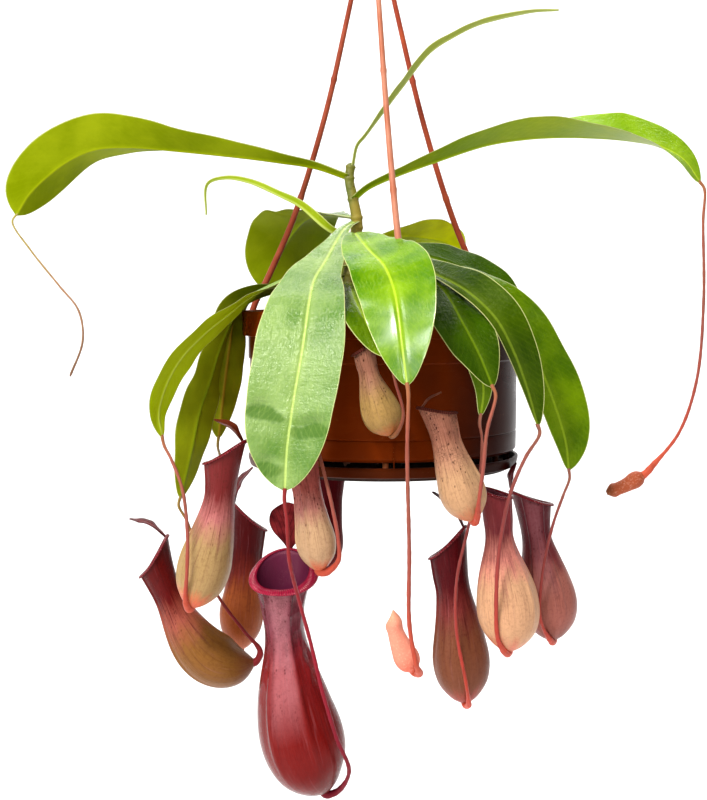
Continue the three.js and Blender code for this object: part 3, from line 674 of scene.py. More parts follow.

# The strands are one plastic: the front one is painted paler, as it looks lit, and the left and right
# ones darker, as they look in the plant's shade. This is painted light and shade.
STRANDS = {
    "left": (-112.7, (146, 68, 46), (118, 46, 28), (52, 22, 16)),
    "front": (7.3, (176, 116, 92), (158, 90, 64), (110, 56, 40)),
    "right": (127.3, (166, 72, 44), (142, 56, 40), (80, 34, 24)),
}
STRAND_TRACK, STRAND_SAG, STRAND_RADIUS, STRAND_GROWS = RIM + 2.7, 9.0, 1.25, 0.55
CLIP_SIZE, CLIP_BEVEL, CLIP_REACH, CLIP_DROP = (8.0, 6.5, 3.0), 0.7, 2.2, 2.1
for side, (degrees, *shades) in STRANDS.items():
    outward = -level_way(degrees)
    spans = []
    for share in (0.25, 0.5, 0.75, 0.9):
        reach = STRAND_TRACK * share - STRAND_SAG * math.sin(math.pi * share ** 1.5)
        height = HUB_FOOT + (RIM_TOP - HUB_FOOT) * share
        spans.append(np.array([POT_X * share, 0, height]) + outward * reach)
    foot = np.array([POT_X, 0, 0]) + outward * STRAND_TRACK
    points = [np.array([0, 0, HUB_FOOT - 0.7]) + outward * 2.6, *spans]
    points += [foot + (0, 0, RIM_TOP - drop) for drop in (1, 9, 16)]
    strand_line, _, strand_run = smooth_path(points, 220)
    share = strand_run / strand_run[-1]
    radii = STRAND_RADIUS + STRAND_GROWS * share
    for knuckle, swell in ((0.07, 0.5), (0.36, 0.35), (0.64, 0.3)):
        radii += swell * np.exp(-((share - knuckle) / 0.006) ** 2)
    finish = hanger_plastic(f"{side}_strand_plastic", *shades)
    strand = stalk(f"{side}_strand", strand_line, radii, finish)
    built(strand, f"hanger_strand_{side}")
    clip_place = (0, CLIP_REACH - STRAND_TRACK, RIM_FOOT - CLIP_DROP)
    clip = block(f"{side}_rim_clip", CLIP_SIZE, clip_place, finish, CLIP_BEVEL, degrees)
    built(clip, f"hanger_strand_{side}")


# ---- Stem ----
# The woody stem, yellow-tan with green, knobbly where old leaves have left their scars.
STEM_POINTS = [
    (-11, 0, MIX_TOP - 3), (-12, 0, -246), (-11, 0, -231), (-9, 0, -220), (-8, 0, -210),
    (-10, 0, -198), (-12, 0, -188), (-11, 0, -179),
]
stem_line, _, stem_run = smooth_path(STEM_POINTS, 240)
stem_share = stem_run / stem_run[-1]
STEM_RADIUS, STEM_TAPER = 4.2, 1.9
stem_radii = STEM_RADIUS - STEM_TAPER * stem_share
SCAR_HEIGHTS = (-248, -243, -238, -233, -229, -224, -219, -213, -208, -198, -187, -181)
for height in SCAR_HEIGHTS:
    stem_radii += 0.45 * np.exp(-((stem_line[:, 2] - height) / 0.9) ** 2)
stem_radii *= rounded_end(stem_share, 0.97, 0.031)
wood = Finish("plant_stem", Roughness=0.6)
wood_place = wood.place()
patches = wood.noise(wood.stretch(wood_place, (90.0, 90.0, 40.0)), 1.0, 4.0).fade(0.35, 0.7)
wood.paint(patches, (134, 116, 24), (84, 92, 14))
scars = wood.noise(wood.stretch(wood_place, (60.0, 60.0, 420.0)), 1.0, 3.0).fade(0.56, 0.72)
wood.paint(scars * 0.8, (98, 62, 30))
wood.set(Roughness=patches * 0.2 + 0.5)
wood.relief(scars + wood.noise(wood_place, 700.0, 4.0) * 0.6, 0.0006, 0.8)
stem = stalk("woody_stem", stem_line, np.maximum(stem_radii, 0.05), wood.material, 28)
built(stem, "stem")


# ---- Leaves ----
# Twenty leathery blades. Each has a sunk midrib above and a keel below and a thin wavy edge, and
# is coloured by its distance from the midrib and from its edge. The front left one has small
# dents, painted dark as shade, and several palettes are the leaf painted as it looks lit or shaded.
RIB_SHARES = np.array([
    0, 0.012, 0.03, 0.055, 0.09, 0.14, 0.2, 0.28, 0.37, 0.47, 0.57, 0.67, 0.76, 0.84, 0.905,
    0.95, 0.98, 0.995, 1,
])
ACROSS = np.concatenate([RIB_SHARES[:0:-1], -RIB_SHARES])
ACROSS = np.concatenate([ACROSS, -ACROSS[1:-1]])
BELOW = np.concatenate([np.zeros(2 * len(RIB_SHARES) - 1), np.ones(2 * len(RIB_SHARES) - 3)])


def spread(values, share):
    """Values at shares of the way along a list of evenly spaced values."""
    return np.interp(share, np.linspace(0, 1, len(values)) if len(values) > 1 else [0], values)


def blade(path, heading, half, base, tip, peak, blunt, left, right, roll, fold, thick,
          wave=(0.0, 1.0, 0.0), rib=0.0, dents=()):
    """Rings across a blade along a path, and the numbers at their points for its finish."""
    spots, ways, run = path
    share = run / run[-1]
    level = level_way(heading)
    across = unit(level - ways * (ways @ level)[:, None])
    face = np.cross(ways, across)
    turn = np.radians(spread(roll, share))[:, None]
    across, face = (
        across * np.cos(turn) + face * np.sin(turn), face * np.cos(turn) - across * np.sin(turn)
    )
    rising = ease(np.clip(share / peak, 0, 1))
    falling = (1 - np.clip((share - peak) / (1 - peak), 0, 1) ** blunt) ** 0.75
    width = np.where(share < peak, base + (half - base) * rising, tip + (half - tip) * falling)
    t, s, under = share[:, None], ACROSS[None, :], BELOW[None, :]
    side = width[:, None] * np.where(s > 0, left, right) * s
    off = np.abs(side)
    lift = np.tan(np.radians(spread(fold, share)))[:, None]
    height = lift * (np.sqrt(off ** 2 + 1.4) - 1.18)
    swing, beats, phase = wave
    ripple = np.sin(2 * np.pi * beats * t + phase + 1.9 * (s > 0))
    ripple += 0.5 * np.sin(2 * np.pi * beats * 2.3 * t + 2 * phase + 3.1 * (s > 0))
    height = height + swing * width[:, None] / half * s ** 2 * ripple
    # The share of painted shade: a patch just below each dent, where the finish darkens the blade.
    crease_shade = np.zeros_like(side)
    for where, beside, size, depth in dents:
        gap = ((t - where) * run[-1]) ** 2 + ((side - beside) * 0.5) ** 2
        height = height - depth * np.exp(-gap / size ** 2)
        low = ((t - where - 0.02) * run[-1]) ** 2 + ((side - beside) * 0.5) ** 2
        crease_shade = np.maximum(crease_shade, np.clip(1.6 * np.exp(-low / (size * 1.5) ** 2), 0, 1))
    slab = thick * (1 - 0.3 * t) * (0.5 - 0.24 * np.abs(s)) * np.sqrt(1 - np.abs(s) ** 12)
    ridge = rib * (1.15 - 0.75 * t) * np.minimum(1, width[:, None] / 5)
    channel = ridge * (0.25 * np.exp(-((off - 1.7) / 0.8) ** 2) - 0.45 * np.exp(-(off / 0.8) ** 2))
    keel = ridge * 0.9 * np.exp(-(off / 1.0) ** 2)
    height = height + np.where(under > 0, -slab - keel, slab + channel)
    rings = spots[:, None] + across[:, None] * side[..., None] + face[:, None] * height[..., None]
    reach = width[:, None] * np.where(s > 0, left, right)
    numbers = {
        "rib_mm": off, "edge_mm": reach - off, "along_mm": run[:, None] + 0 * s,
        "along": t + 0 * s, "below": under + 0 * t, "crease_shade": crease_shade,
    }
    return rings, numbers


def leaf_tissue(name, top, deep, under, rib_shade, gloss=0.3, shine=0.14,
                sheen=(0.85, 1.0, 0.35, 1.0), wax=0.0):
    """Leathery leaf: faint veins slant forward from a pale midrib to a thin cream edge, with painted
    shade in its dents.
    """
    leaf = Finish(name, Specular_IOR_Level=shine, Specular_Tint=sheen)
    place = leaf.place()
    rib, edge = leaf.attribute("rib_mm"), leaf.attribute("edge_mm")
    forward, below = leaf.attribute("along_mm"), leaf.attribute("below")
    cloud = leaf.noise(place, 60.0, 5.0, 0.6).fade(0.36, 0.66)
    blotch = leaf.noise(place, 24.0, 2.0).fade(0.36, 0.62)
    # Painted shade: a dark green patch below each dent, where the dent's shadow would fall.
    crease_shade = (leaf.attribute("crease_shade") * (leaf.noise(place, 210.0, 4.0) + 0.45)).fade(0.3, 0.85)
    leaf.paint(cloud * 0.45 + blotch * 0.55, top, deep)
    leaf.paint(crease_shade * 0.8, (52, 92, 2))
    bend = leaf.noise(place, 120.0, 3.0)
    sheet = leaf.node("ShaderNodeCombineXYZ", [rib * 0.9, forward * 0.07, below])
    flow = leaf.noise(sheet, 1.0, 4.0).fade(0.48, 0.75)
    vein = ((forward - rib * 1.4 + bend * 3.6) * 1.5).sine().fade(0.3, 1.0) * rib.fade(0.8, 3.0)
    lines = vein * 0.3 + flow * 0.7
    leaf.paint(lines * 0.16, rib_shade)
    middle = rib + leaf.attribute("along") * 0.35
    leaf.paint(middle.fade(5.5, 0.4) * 0.16 + middle.fade(1.15, 0.55) * 0.6, rib_shade)
    pale = [channel * 0.45 + other * 0.55 for channel, other in zip(tint(under), tint((150, 160, 20)))]
    flesh = leaf.blend(cloud * 0.5 + blotch * 0.5, under, (*pale[:3], 1.0))
    flesh = leaf.blend(lines * 0.15 + middle.fade(1.5, 0.6) * 0.5, flesh, rib_shade)
    leaf.paint(below, flesh)
    speck = leaf.cells(place, 300.0).fade(0.12, 0.06) * leaf.noise(place, 30.0).fade(0.58, 0.72)
    leaf.paint(speck * 0.6, (90, 60, 20))
    leaf.paint(edge.fade(0.5, 0.2) * 0.7, (200, 200, 130))
    fine = leaf.noise(place, 420.0, 4.0, 0.65)
    folds = leaf.node("ShaderNodeCombineXYZ", [rib * 0.13, forward * 0.36 + bend * 1.6, below])
    folds = leaf.noise(folds, 1.0, 4.0, 0.6)
    pits = leaf.cells(place, 170.0).fade(0.35, 0.1) * blotch
    bark = leaf.noise(leaf.node("ShaderNodeCombineXYZ", [rib * 1.1, forward * 0.3, below]), 1.0, 2.0)
    worn = below * 0.2 + crease_shade * 0.5
    leaf.set(Roughness=worn + cloud * 0.06 + fine * 0.08 + (gloss - 0.04))
    if wax:
        leaf.set(Coat_Weight=leaf.attribute("along").fade(0.6, 0.82) * wax, Coat_Roughness=0.2)
    rough = fine * 0.4 + bark * 0.4 + bend * 0.6 + folds * 0.9 - pits * 0.15
    leaf.relief(rough * (1.0 - below * 0.8), 0.0009, 0.7)
    return leaf.material


# LIT_BELOW, LIT_ABOVE, SHADED, DEEP_SHADE, BACKLIT, LIT_OUTER_LEFT and GREY_SHEEN are the leaf as it
# looks in the light where it hangs, which is painted light and shade: GREY_SHEEN's grey top and
# LIT_OUTER_LEFT's pale top are a painted sheen, LIT_OUTER_LEFT's and BACKLIT's bright undersides are
# painted light through the leaf, and SHADED and DEEP_SHADE are painted shade.
RIB = (166, 190, 40)
BRIGHT = ((116, 154, 0), (60, 108, 0), (124, 142, 0), RIB, 0.22, 0.12, (0.9, 1.0, 0.4, 1.0), 0.8)
MATURE = ((96, 124, 0), (56, 86, 0), (110, 124, 0), (136, 160, 30), 0.24, 0.14)
LIT_BELOW = ((94, 122, 0), (64, 92, 0), (106, 120, 0), (150, 158, 16), 0.4, 0.03)
LIT_ABOVE = ((124, 158, 20), (92, 130, 0), (108, 134, 0), (180, 200, 50), 0.16, 0.16)
OLD_GROWTH = ((160, 168, 104), (134, 146, 70), (150, 156, 80), (196, 200, 130), 0.4)
GREY_SHEEN = (
    (128, 154, 84), (74, 112, 34), (130, 150, 10), (176, 196, 100), 0.24, 0.36, (1.0, 1.0, 0.85, 1.0),
)
SHADED = ((50, 72, 0), (30, 52, 0), (136, 156, 0), (108, 128, 30), 0.26, 0.07)
LIT_OUTER_LEFT = ((130, 160, 80), (104, 136, 50), (164, 186, 0), (190, 204, 90), 0.4, 0.05)
DEEP_SHADE = ((48, 76, 0), (30, 52, 0), (112, 122, 6), (100, 124, 16), 0.24, 0.07)
OLIVE = ((116, 122, 50), (70, 80, 14), (104, 110, 4), (180, 128, 40), 0.34)
YOUNG = ((180, 200, 84), (140, 170, 44), (150, 172, 20), (216, 224, 130), 0.4)
BACKLIT = ((140, 166, 0), (108, 138, 0), (244, 255, 0), RIB, 0.34, 0.03)
tissues, leaf_tips = {}, {}


def stem_place(height):
    """The middle of the stem at a height, and its radius there without the scars."""
    index = np.arange(len(stem_line))
    place = np.interp(height, stem_line[:, 2], index)
    centre = np.array([np.interp(place, index, stem_line[:, k]) for k in range(3)])
    return centre, STEM_RADIUS - STEM_TAPER * place / index[-1]


def leaf(name, height, rib, colours, dents=(), wave=(0.9, 3.0, 0.0), **shape):
    """A blade along a midrib that leaves the stem at a height. Its tip is kept for a tendril."""
    centre, radius = stem_place(height)
    outward = unit((np.array(rib[0], float) - centre) * (1, 1, 0))
    start = centre + outward * radius * 0.4
    path = smooth_path([start, *rib], 97)
    chord = np.array(rib[-1]) - start
    values = {
        "heading": math.degrees(math.atan2(chord[1], chord[0])), "half": 15, "base": 2.4,
        "tip": 0.8, "peak": 0.6, "blunt": 2.4, "left": 1, "right": 1, "roll": [0], "fold": [8],
        "thick": 0.9, **shape,
    }
    rings, numbers = blade(path, wave=wave, rib=1.0, dents=dents, **values)
    shells = Shells()
    shells.loft(rings, **numbers)
    kind = id(colours)
    if kind not in tissues:
        tissues[kind] = leaf_tissue(f"leaf_blade_{len(tissues)}", *colours)
    piece = new_object(f"{name}_leaf", shells.mesh(f"{name}_leaf"), tissues[kind])
    built(piece, f"leaf_{name}")
    leaf_tips[name] = (np.array(rib[-1], float), path[1][-1])


leaf("upper_left", -187, [
    (-31, 0, -181), (-49, -3, -178.5), (-66, -5, -176.5), (-103, -7, -173), (-127, -8, -171.3),
    (-145, -8, -172.5), (-158, -8, -177.8), (-169, -8, -185.5), (-180, -8, -196), (-187, -8, -207),
], LIT_BELOW, half=18, base=4, peak=0.7, blunt=4, roll=[8, 14, 18, 40, 60], fold=[25, 25, 25, 25, 20],
     wave=(0.4, 3.0, 0.4))
leaf("upper_right", -198, [
    (-3, -3, -193), (7, -4, -188), (36, -6, -177.5), (60, -7, -170), (80, -8, -167),
    (98, -8, -166), (118, -8, -166.5), (135, -8, -168), (150, -8, -171), (163, -8, -178),
    (172, -8, -190),
], LIT_ABOVE, half=18, base=4, roll=[-8, -8, -3, 22, 45], fold=[20, 22, 28, 30, 10], peak=0.62,
     wave=(0.4, 3.5, 2.0))
leaf("top", -181, [
    (-8, 0, -170), (-4, 0, -165), (2, -1, -157), (15, -3, -140), (30, -6, -122),
    (43, -8, -114), (56, -8, -108), (82, -8, -102), (97, -8, -101),
], OLD_GROWTH, half=5.2, peak=0.4, blunt=1.2, roll=[0, -20], fold=[8, 20], wave=(0.2, 4.0, 1.0))
leaf("young_left", -219, [
    (-22, -6, -215), (-38, -9, -202), (-48, -10, -197), (-64, -10, -190), (-77, -10, -188),
    (-86, -10, -191), (-87, -10, -207),
], YOUNG, half=4.5, peak=0.22, blunt=0.8, roll=[25], fold=[20], wave=(0.1, 3.0, 0.0))
leaf("back_left", -208, [
    (-23, 22, -205), (-37, 44, -207), (-47, 54, -218), (-55, 58, -231), (-61, 60, -246),
], MATURE, half=24, heading=110)
leaf("back_right", -222, [
    (13, 25, -217), (30, 45, -217), (44, 56, -220), (52, 60, -227),
], BACKLIT, half=17, roll=[-25], wave=(0.5, 2.0, 0.5))
leaf("front_left", -210, [
    (-14, -14, -214), (-19, -30, -222), (-24, -48, -232), (-29, -62, -241), (-31, -78, -251),
    (-34, -92, -274), (-38, -98, -298), (-41, -102, -321), (-42, -103, -340),
], GREY_SHEEN, half=21, left=0.98, right=1.08, heading=-100, peak=0.66, blunt=3.6, wave=(0.8, 3.5, 1.2),
     dents=((0.79, -15, 2.6, 3.2), (0.8, -8, 1.8, 2.0), (0.83, 6, 2.0, 2.4), (0.82, 13, 2.4, 3.0),
            (0.93, -9, 2.6, 2.4)))
leaf("front_centre", -217, [
    (-9, -22, -217), (-6.5, -44, -221), (-1.5, -64, -227.6), (5, -80, -235), (9, -90, -245),
    (11, -98, -256), (13, -106, -274), (15, -110, -290),
], BRIGHT, half=18.5, left=1.15, right=0.94, heading=-108, peak=0.62, blunt=2, roll=[2, 0, 0],
     wave=(0.7, 4.0, 0.3))
leaf("front_right", -229, [
    (14, -30, -233), (33, -62, -245), (43, -82, -263), (50, -88, -277), (56, -92, -292),
], DEEP_SHADE, half=16, left=0.95, heading=-78, wave=(1.2, 3.0, 2.4))
leaf("right_under", -239, [
    (14, -30, -241), (30, -56, -249), (38, -69, -253), (44, -77, -265), (50, -79, -281),
    (53, -77, -294), (52, -74, -307),
], MATURE, half=7, heading=-75, wave=(0.5, 3.0, 1.0))
leaf("right_arching", -226, [
    (14, -24, -230), (30, -52, -238), (46, -74, -247.5), (58.5, -81.5, -260), (67, -79, -275),
    (75, -71, -294), (81, -65, -313),
], SHADED, half=12.5, right=0.3, roll=[10, 30, 50, 75], fold=[12], wave=(0.5, 3.0, 0.6))
leaf("right_outer", -231, [
    (15, -8, -231), (31, -20, -235), (52, -34, -241), (70, -45, -257), (79, -46, -274),
    (89, -44, -296), (98, -42, -323), (100, -41, -338),
], MATURE, half=16.5, right=0.45, peak=0.76, roll=[5, 15, 35, 60, 70], wave=(1.0, 3.0, 1.7))
leaf("right_rear", -224, [
    (15, 4, -226), (32, 8, -229), (53, 10, -237), (69, 10, -246), (82, 9, -257),
], DEEP_SHADE, half=15, right=0.5, roll=[10, 40, 50], wave=(0.6, 2.5, 0.0))
leaf("low_centre", -243, [
    (-11, -40, -245), (-9, -70, -251), (-5, -88, -259), (0, -96, -269), (5, -99, -277),
], MATURE, half=11, heading=-90, wave=(0.6, 3.0, 0.7))
leaf("left_outer", -233, [
    (-33, -18, -236), (-62, -36, -249), (-73, -43, -258), (-85, -48, -268), (-97, -51, -281),
    (-105, -50, -296), (-108, -50, -309), (-106, -50, -320),
], LIT_OUTER_LEFT, half=14, right=0.8, roll=[5, 15, 45, 65], fold=[-8], wave=(0.7, 3.0, 2.2))
leaf("left_middle", -238, [
    (-36, -5, -243), (-64, -21, -252), (-72, -25, -260), (-79, -28, -276), (-84, -29, -293),
    (-89, -31, -308), (-93, -34, -328), (-99, -34, -353),
], DEEP_SHADE, half=13, roll=[0, 15, 60, 75], wave=(0.8, 3.5, 0.9))
leaf("left_inner", -243, [
    (-38, 2, -247), (-62, -9, -248.5), (-72, -13, -257), (-75, -16, -275), (-77, -18, -291),
    (-79, -17, -307), (-81, -14, -324),
], OLIVE, half=12, roll=[0, 20, 55, 60], heading=180, wave=(0.6, 3.0, 1.5))
leaf("left_lower", -248, [
    (-20, -35, -246), (-28, -64, -252), (-31, -80, -265), (-30, -83, -284), (-28, -82, -304),
    (-28, -82, -313),
], DEEP_SHADE, half=9, heading=-95, wave=(0.5, 3.0, 0.2))
leaf("back_centre", -227, [
    (-11, 25, -224), (-13, 55, -226), (-15, 82, -243), (-17, 97, -272), (-18, 101, -305),
], MATURE, half=17, wave=(1.0, 3.0, 0.8))
leaf("back_far_right", -232, [
    (4, 24, -229), (24, 56, -231), (38, 80, -247), (46, 92, -280),
], BRIGHT, half=16, wave=(1.0, 3.0, 2.8))


# ---- Pitchers ----
# Eleven open pitchers: a waxy cup that slants up to the back of its mouth, two low ridges
# down its front, a ribbed glossy lip rolled outwards and a lid arched over the mouth.
AROUND = np.linspace(0, 2 * np.pi, 120, endpoint=False)
FLOOR_PLACE, SKIN_THICK, RIDGE_TURN, RIDGE_WIDTH = 0.24, 1.0, 27, 0.085
pitcher_feet = {}


def pitcher_radius(belly, neck, mouth):
    """A pitcher's radius against the place along its axis."""
    pairs = np.array([
        (0, 1.5), (0.04, belly * 0.46), (0.14, belly * 0.87), (0.28, belly), (0.46, belly * 0.84),
        (0.7, neck), (0.85, neck * 1.04), (1, mouth),
    ])
    ends = np.vstack([pairs[:1], pairs, pairs[-1:]])
    share = np.linspace(0, 1, 30)[:, None]
    curve = np.vstack([
        span(p1, p2, (p2 - p0) / 2, (p3 - p1) / 2, share)
        for p0, p1, p2, p3 in zip(ends, ends[1:], ends[2:], ends[3:])
    ])
    return lambda place: np.interp(place, curve[:, 0], curve[:, 1])


class Axis:
    """The middle line of a pitcher and the way that its mouth faces."""

    def __init__(self, points, facing, slope):
        self.spots, self.ways, self.run = smooth_path(points, 200)
        self.level = level_way(facing)
        self.slope = slope

    def at(self, place):
        index = np.asarray(place) * (len(self.spots) - 1)
        pick = lambda rows: np.stack(
            [np.interp(index, np.arange(len(rows)), rows[:, k]) for k in range(3)], axis=-1
        )
        up = unit(pick(self.ways))
        side = unit(self.level - up * (up @ self.level)[..., None])
        return pick(self.spots), up, side, np.cross(side, up)

    def rings(self, places, radii, turns=AROUND):
        """Rings that slant more and more with the mouth towards the top of the pitcher."""
        spot, up, side, forward = (part[:, None] for part in self.at(places))
        share = ease(np.clip((places - 0.62) / 0.38, 0, 1))[:, None]
        rise = (((1 - np.cos(turns)) / 2) ** 1.3 - 0.45)[None, :] * share * self.slope
        radii = np.broadcast_to(radii if np.ndim(radii) > 1 else radii[:, None], rise.shape)
        cos, sin = np.cos(turns)[None, :, None], np.sin(turns)[None, :, None]
        out = forward * cos + side * sin
        return spot + out * radii[..., None] + up * rise[..., None]


def pitcher_skin(name, base, belly, middle, neck, streak, inside, gloss=0.3, specks=0.6, net=0.22,
                 panel=0.12, crinkle=0.5, shine=0.18):
    """Waxy skin shaded up the pitcher, with fine streaks along it, specks, dark crackle and a painted
    highlight.
    """
    skin = Finish(name, Specular_IOR_Level=shine, Specular_Tint=(1.0, 0.5, 0.5, 1.0))
    place = skin.place()
    height, within = skin.attribute("place"), skin.attribute("within")
    wrap = skin.node("ShaderNodeCombineXYZ", [
        skin.attribute("turn_cos"), skin.attribute("turn_sin"), height * 2.4,
    ])
    drift = skin.noise(wrap, 1.7, 3.0)
    fibres = skin.noise(skin.stretch(wrap, (17.0, 17.0, 1.8)), 1.0, 5.0, 0.62)
    level = height + drift * 0.24 + fibres * 0.16 - 0.2
    stops = [(0.02, base), (0.14, belly), (0.42, belly), (0.58, middle), (0.76, neck), (1.0, neck)]
    skin.colour = skin.node("ShaderNodeValToRGB", [level], stops=stops)
    bands = skin.noise(skin.stretch(wrap, (5.5, 5.5, 0.9)), 1.0, 5.0, 0.62)
    share = bands.fade(0.5, 0.7) * 0.35 + fibres.fade(0.5, 0.66) * 0.5
    skin.paint(share * height.fade(-0.1, 0.7), streak)
    # Painted highlight: streaky patches and the front panel between the ridges are screened paler, as the
    # gloss looks on them.
    light = skin.noise(skin.stretch(wrap, (8.0, 8.0, 1.4)), 1.3, 3.0).fade(0.56, 0.75)
    highlight_tint = skin.blend(1.0, skin.colour, (150, 100, 104), blend_type="SCREEN")
    lit = skin.attribute("panel") * panel * (bands * 0.5 + 0.75)
    skin.paint(light * 0.14 + lit, highlight_tint)
    crackle = skin.cells(skin.stretch(place, (900.0, 900.0, 620.0)), 1.0, "DISTANCE_TO_EDGE")
    crackle = crackle.fade(0.12, 0.02) * skin.noise(place, 90.0, 3.0).fade(0.4, 0.65)
    crackle = crackle * height.fade(0.42, 0.72)
    skin.paint(crackle * net, streak)
    dots = skin.cells(skin.stretch(place, (1.0, 1.0, 0.6)), 620.0).fade(0.34, 0.16)
    dots = dots * skin.noise(wrap, 5.0, 3.0).fade(0.44, 0.62) * height.fade(0.1, 0.75)
    skin.paint(dots * specks, streak)
    grain = skin.noise(place, 620.0, 3.0, 0.7).fade(0.46, 0.66) * (drift * 0.6 + 0.5)
    skin.paint(grain * 0.22, streak)
    skin.paint(within, inside)
    fine = skin.noise(place, 480.0, 4.0, 0.6)
    folds = skin.cells(skin.stretch(place, (170.0, 170.0, 100.0)), 1.0)
    folds = folds * height.fade(0.35, 0.8) * (1.0 - within) * crinkle
    skin.set(Roughness=fine * 0.16 + bands * 0.12 + (gloss - 0.12))
    skin.relief(fine * 0.3 + fibres * 0.5 + folds * 1.6 - crackle * 0.2, 0.0007, 0.5)
    return skin.material


def lip_finish(name, dark, lit, gloss=0.14, shine=0.4):
    """A wet-looking lip with fine ribs across it."""
    lip = Finish(name, Specular_IOR_Level=shine, Specular_Tint=(1.0, 0.5, 0.5, 1.0))
    ribs = lip.attribute("ribs").sine()
    cloud = lip.noise(lip.place(), 160.0, 3.0)
    lip.paint(ribs * 0.3 + cloud * 0.9 - 0.1, lit, dark)
    lip.set(Roughness=cloud * 0.16 + gloss)
    lip.relief(ribs + cloud * 0.6, 0.0003, 0.5)
    return lip.material


def lid_finish(name, deep, lit, vein_shade):
    """A lid's thin flap, mottled, with forked veins from its hinge."""
    lid = Finish(name, Specular_IOR_Level=0.02, Specular_Tint=(1.0, 0.5, 0.45, 1.0))
    place = lid.place()
    cloud = lid.noise(place, 130.0, 4.0).fade(0.3, 0.72)
    lid.paint(cloud, lit, deep)
    rib, forward = lid.attribute("rib_mm"), lid.attribute("along_mm")
    fork = rib * 2.6 - forward * 0.9 + lid.noise(place, 200.0) * 2.0
    vein = fork.sine().fade(0.7, 1.0)
    lid.paint(vein * 0.45, vein_shade)
    lid.paint(lid.attribute("edge_mm").fade(0.6, 0.1) * 0.5, vein_shade)
    lid.set(Roughness=cloud * 0.15 + 0.26)
    lid.relief(vein * 0.6 + lid.noise(place, 500.0), 0.0004, 0.5)
    return lid.material


def pitcher(name, axis, colours, lip, lid_shade, belly, neck, mouth, facing, slope, lid, lid_half,
            lid_tilt, lip_width=1.1, ridges=0.9, curl=25, cup=6, uneven=0.02, relax=4,
            panel_turn=0, **finish):
    """A cup, its rolled lip and its lid, as closed shells of one piece."""
    skin = pitcher_skin(f"{name}_pitcher_skin", *colours, **finish)
    trunk = Axis(axis, facing, slope)
    radius_at = pitcher_radius(belly, neck, mouth)
    shells = Shells()
    out_places = np.linspace(0, 1, 84) ** 1.15
    in_places = np.linspace(1, FLOOR_PLACE, 40)
    turns, heights = AROUND[None, :], out_places[:, None]
    seed = sum(map(ord, name)) % 17
    bumps = np.sin(2 * turns + seed + 3 * heights) + np.sin(3 * turns - 5 * heights + 2 * seed)
    bumps = 1 + uneven * 0.5 * bumps * np.minimum(1, heights * 6) * (1 - heights ** 4)
    outer = radius_at(out_places)[:, None] * bumps
    front = turns - math.radians(panel_turn)
    for centre in (np.radians(RIDGE_TURN), -np.radians(RIDGE_TURN)):
        gap = (front - centre + np.pi) % (2 * np.pi) - np.pi
        rise = np.exp(-(gap / RIDGE_WIDTH) ** 2) * np.clip(heights * 4 - 0.5, 0, 1)
        outer = outer + ridges * rise
    front = (front + np.pi) % (2 * np.pi) - np.pi
    # The front panel between the ridges, a little flattened; the skin paints it paler as a highlight.
    panel = np.exp(-(front / 0.42) ** 6) * np.clip((heights - 0.3) * 5, 0, 1)
    outer = outer * (1 - 0.035 * panel)
    inner = radius_at(in_places) - SKIN_THICK - relax * 0.05 * (1 - in_places)
    inner = inner[:, None] * np.ones_like(turns)
    wall = trunk.rings(out_places, outer)
    for _ in range(relax):
        wall[1:-1] = (wall[:-2] + 2 * wall[1:-1] + wall[2:]) / 4
    rings = np.vstack([wall, trunk.rings(in_places, inner)])
    places = np.concatenate([out_places, in_places])[:, None]
    within = np.concatenate([np.zeros(len(out_places)), np.ones(len(in_places))])[:, None]
    panel = np.vstack([panel, np.zeros_like(inner)])
    shells.loft(
        rings, place=places, turn_cos=np.cos(turns), turn_sin=np.sin(turns), within=within, panel=panel
    )

    ribs = 12 * round(mouth * 0.55)
    fine = np.linspace(0, 2 * np.pi, 4 * ribs, endpoint=False)
    mouth_ring = trunk.rings(np.array([1.0]), np.array([mouth - 0.3]), fine)[0]
    ahead = unit(np.roll(mouth_ring, -1, 0) - np.roll(mouth_ring, 1, 0))
    _, up, side, forward = trunk.at(1.0)
    away = forward * np.cos(fine)[:, None] + side * np.sin(fine)[:, None]
    away = unit(away - ahead * np.einsum("ij,ij->i", away, ahead)[:, None])
    over = unit(np.cross(ahead, away))
    over = over * np.sign(over @ up)[:, None]
    band = np.linspace(0, 2 * np.pi, 18, endpoint=False)
    width = lip_width * (1 + 0.25 * np.sin(fine + 1.0)) * (1 + 0.05 * np.cos(ribs * fine))
    width = width[:, None, None]
    reach = np.cos(band)[None, :, None] * width + width * 0.35
    droop = 0.55 * width * ((np.cos(band) + 1) / 2)[None, :, None] ** 2
    thick = (0.42 + 0.22 * width) * np.sin(band)[None, :, None]
    lip_rings = mouth_ring[:, None] + away[:, None] * reach + over[:, None] * (thick - droop + 0.25)
    shells.loft(lip_rings, 1, loop=True, place=1.0, ribs=(ribs * fine)[:, None])

    spot = trunk.at(1.0)[0]
    hinge = spot - forward * (mouth - 0.5) + up * (slope * 0.55 - 1.5)
    flat = unit(forward * (1, 1, 0))
    reach = lambda start, tilt: start + lid / 2 * (
        flat * math.cos(math.radians(tilt)) + np.array([0, 0, math.sin(math.radians(tilt))])
    )
    middle = reach(hinge, lid_tilt)
    path = smooth_path([hinge, middle, reach(middle, lid_tilt - curl)], 48)
    rings, numbers = blade(
        path, math.degrees(math.atan2(side[1], side[0])) - 90, lid_half, 0.9, 0.8, 0.55, 2.2, 1, 1,
        [0], [cup], 1.3, wave=(0.5 * lid_half / 8, 1.5, seed), rib=0.5,
    )
    shells.loft(rings, 2, **numbers)
    piece = new_object(f"{name}_pitcher", shells.mesh(f"{name}_pitcher"), skin, lip, lid_shade)
    built(piece, f"pitcher_{name}")
    pitcher_feet[name] = (np.array(axis[0], float), trunk.ways[0])


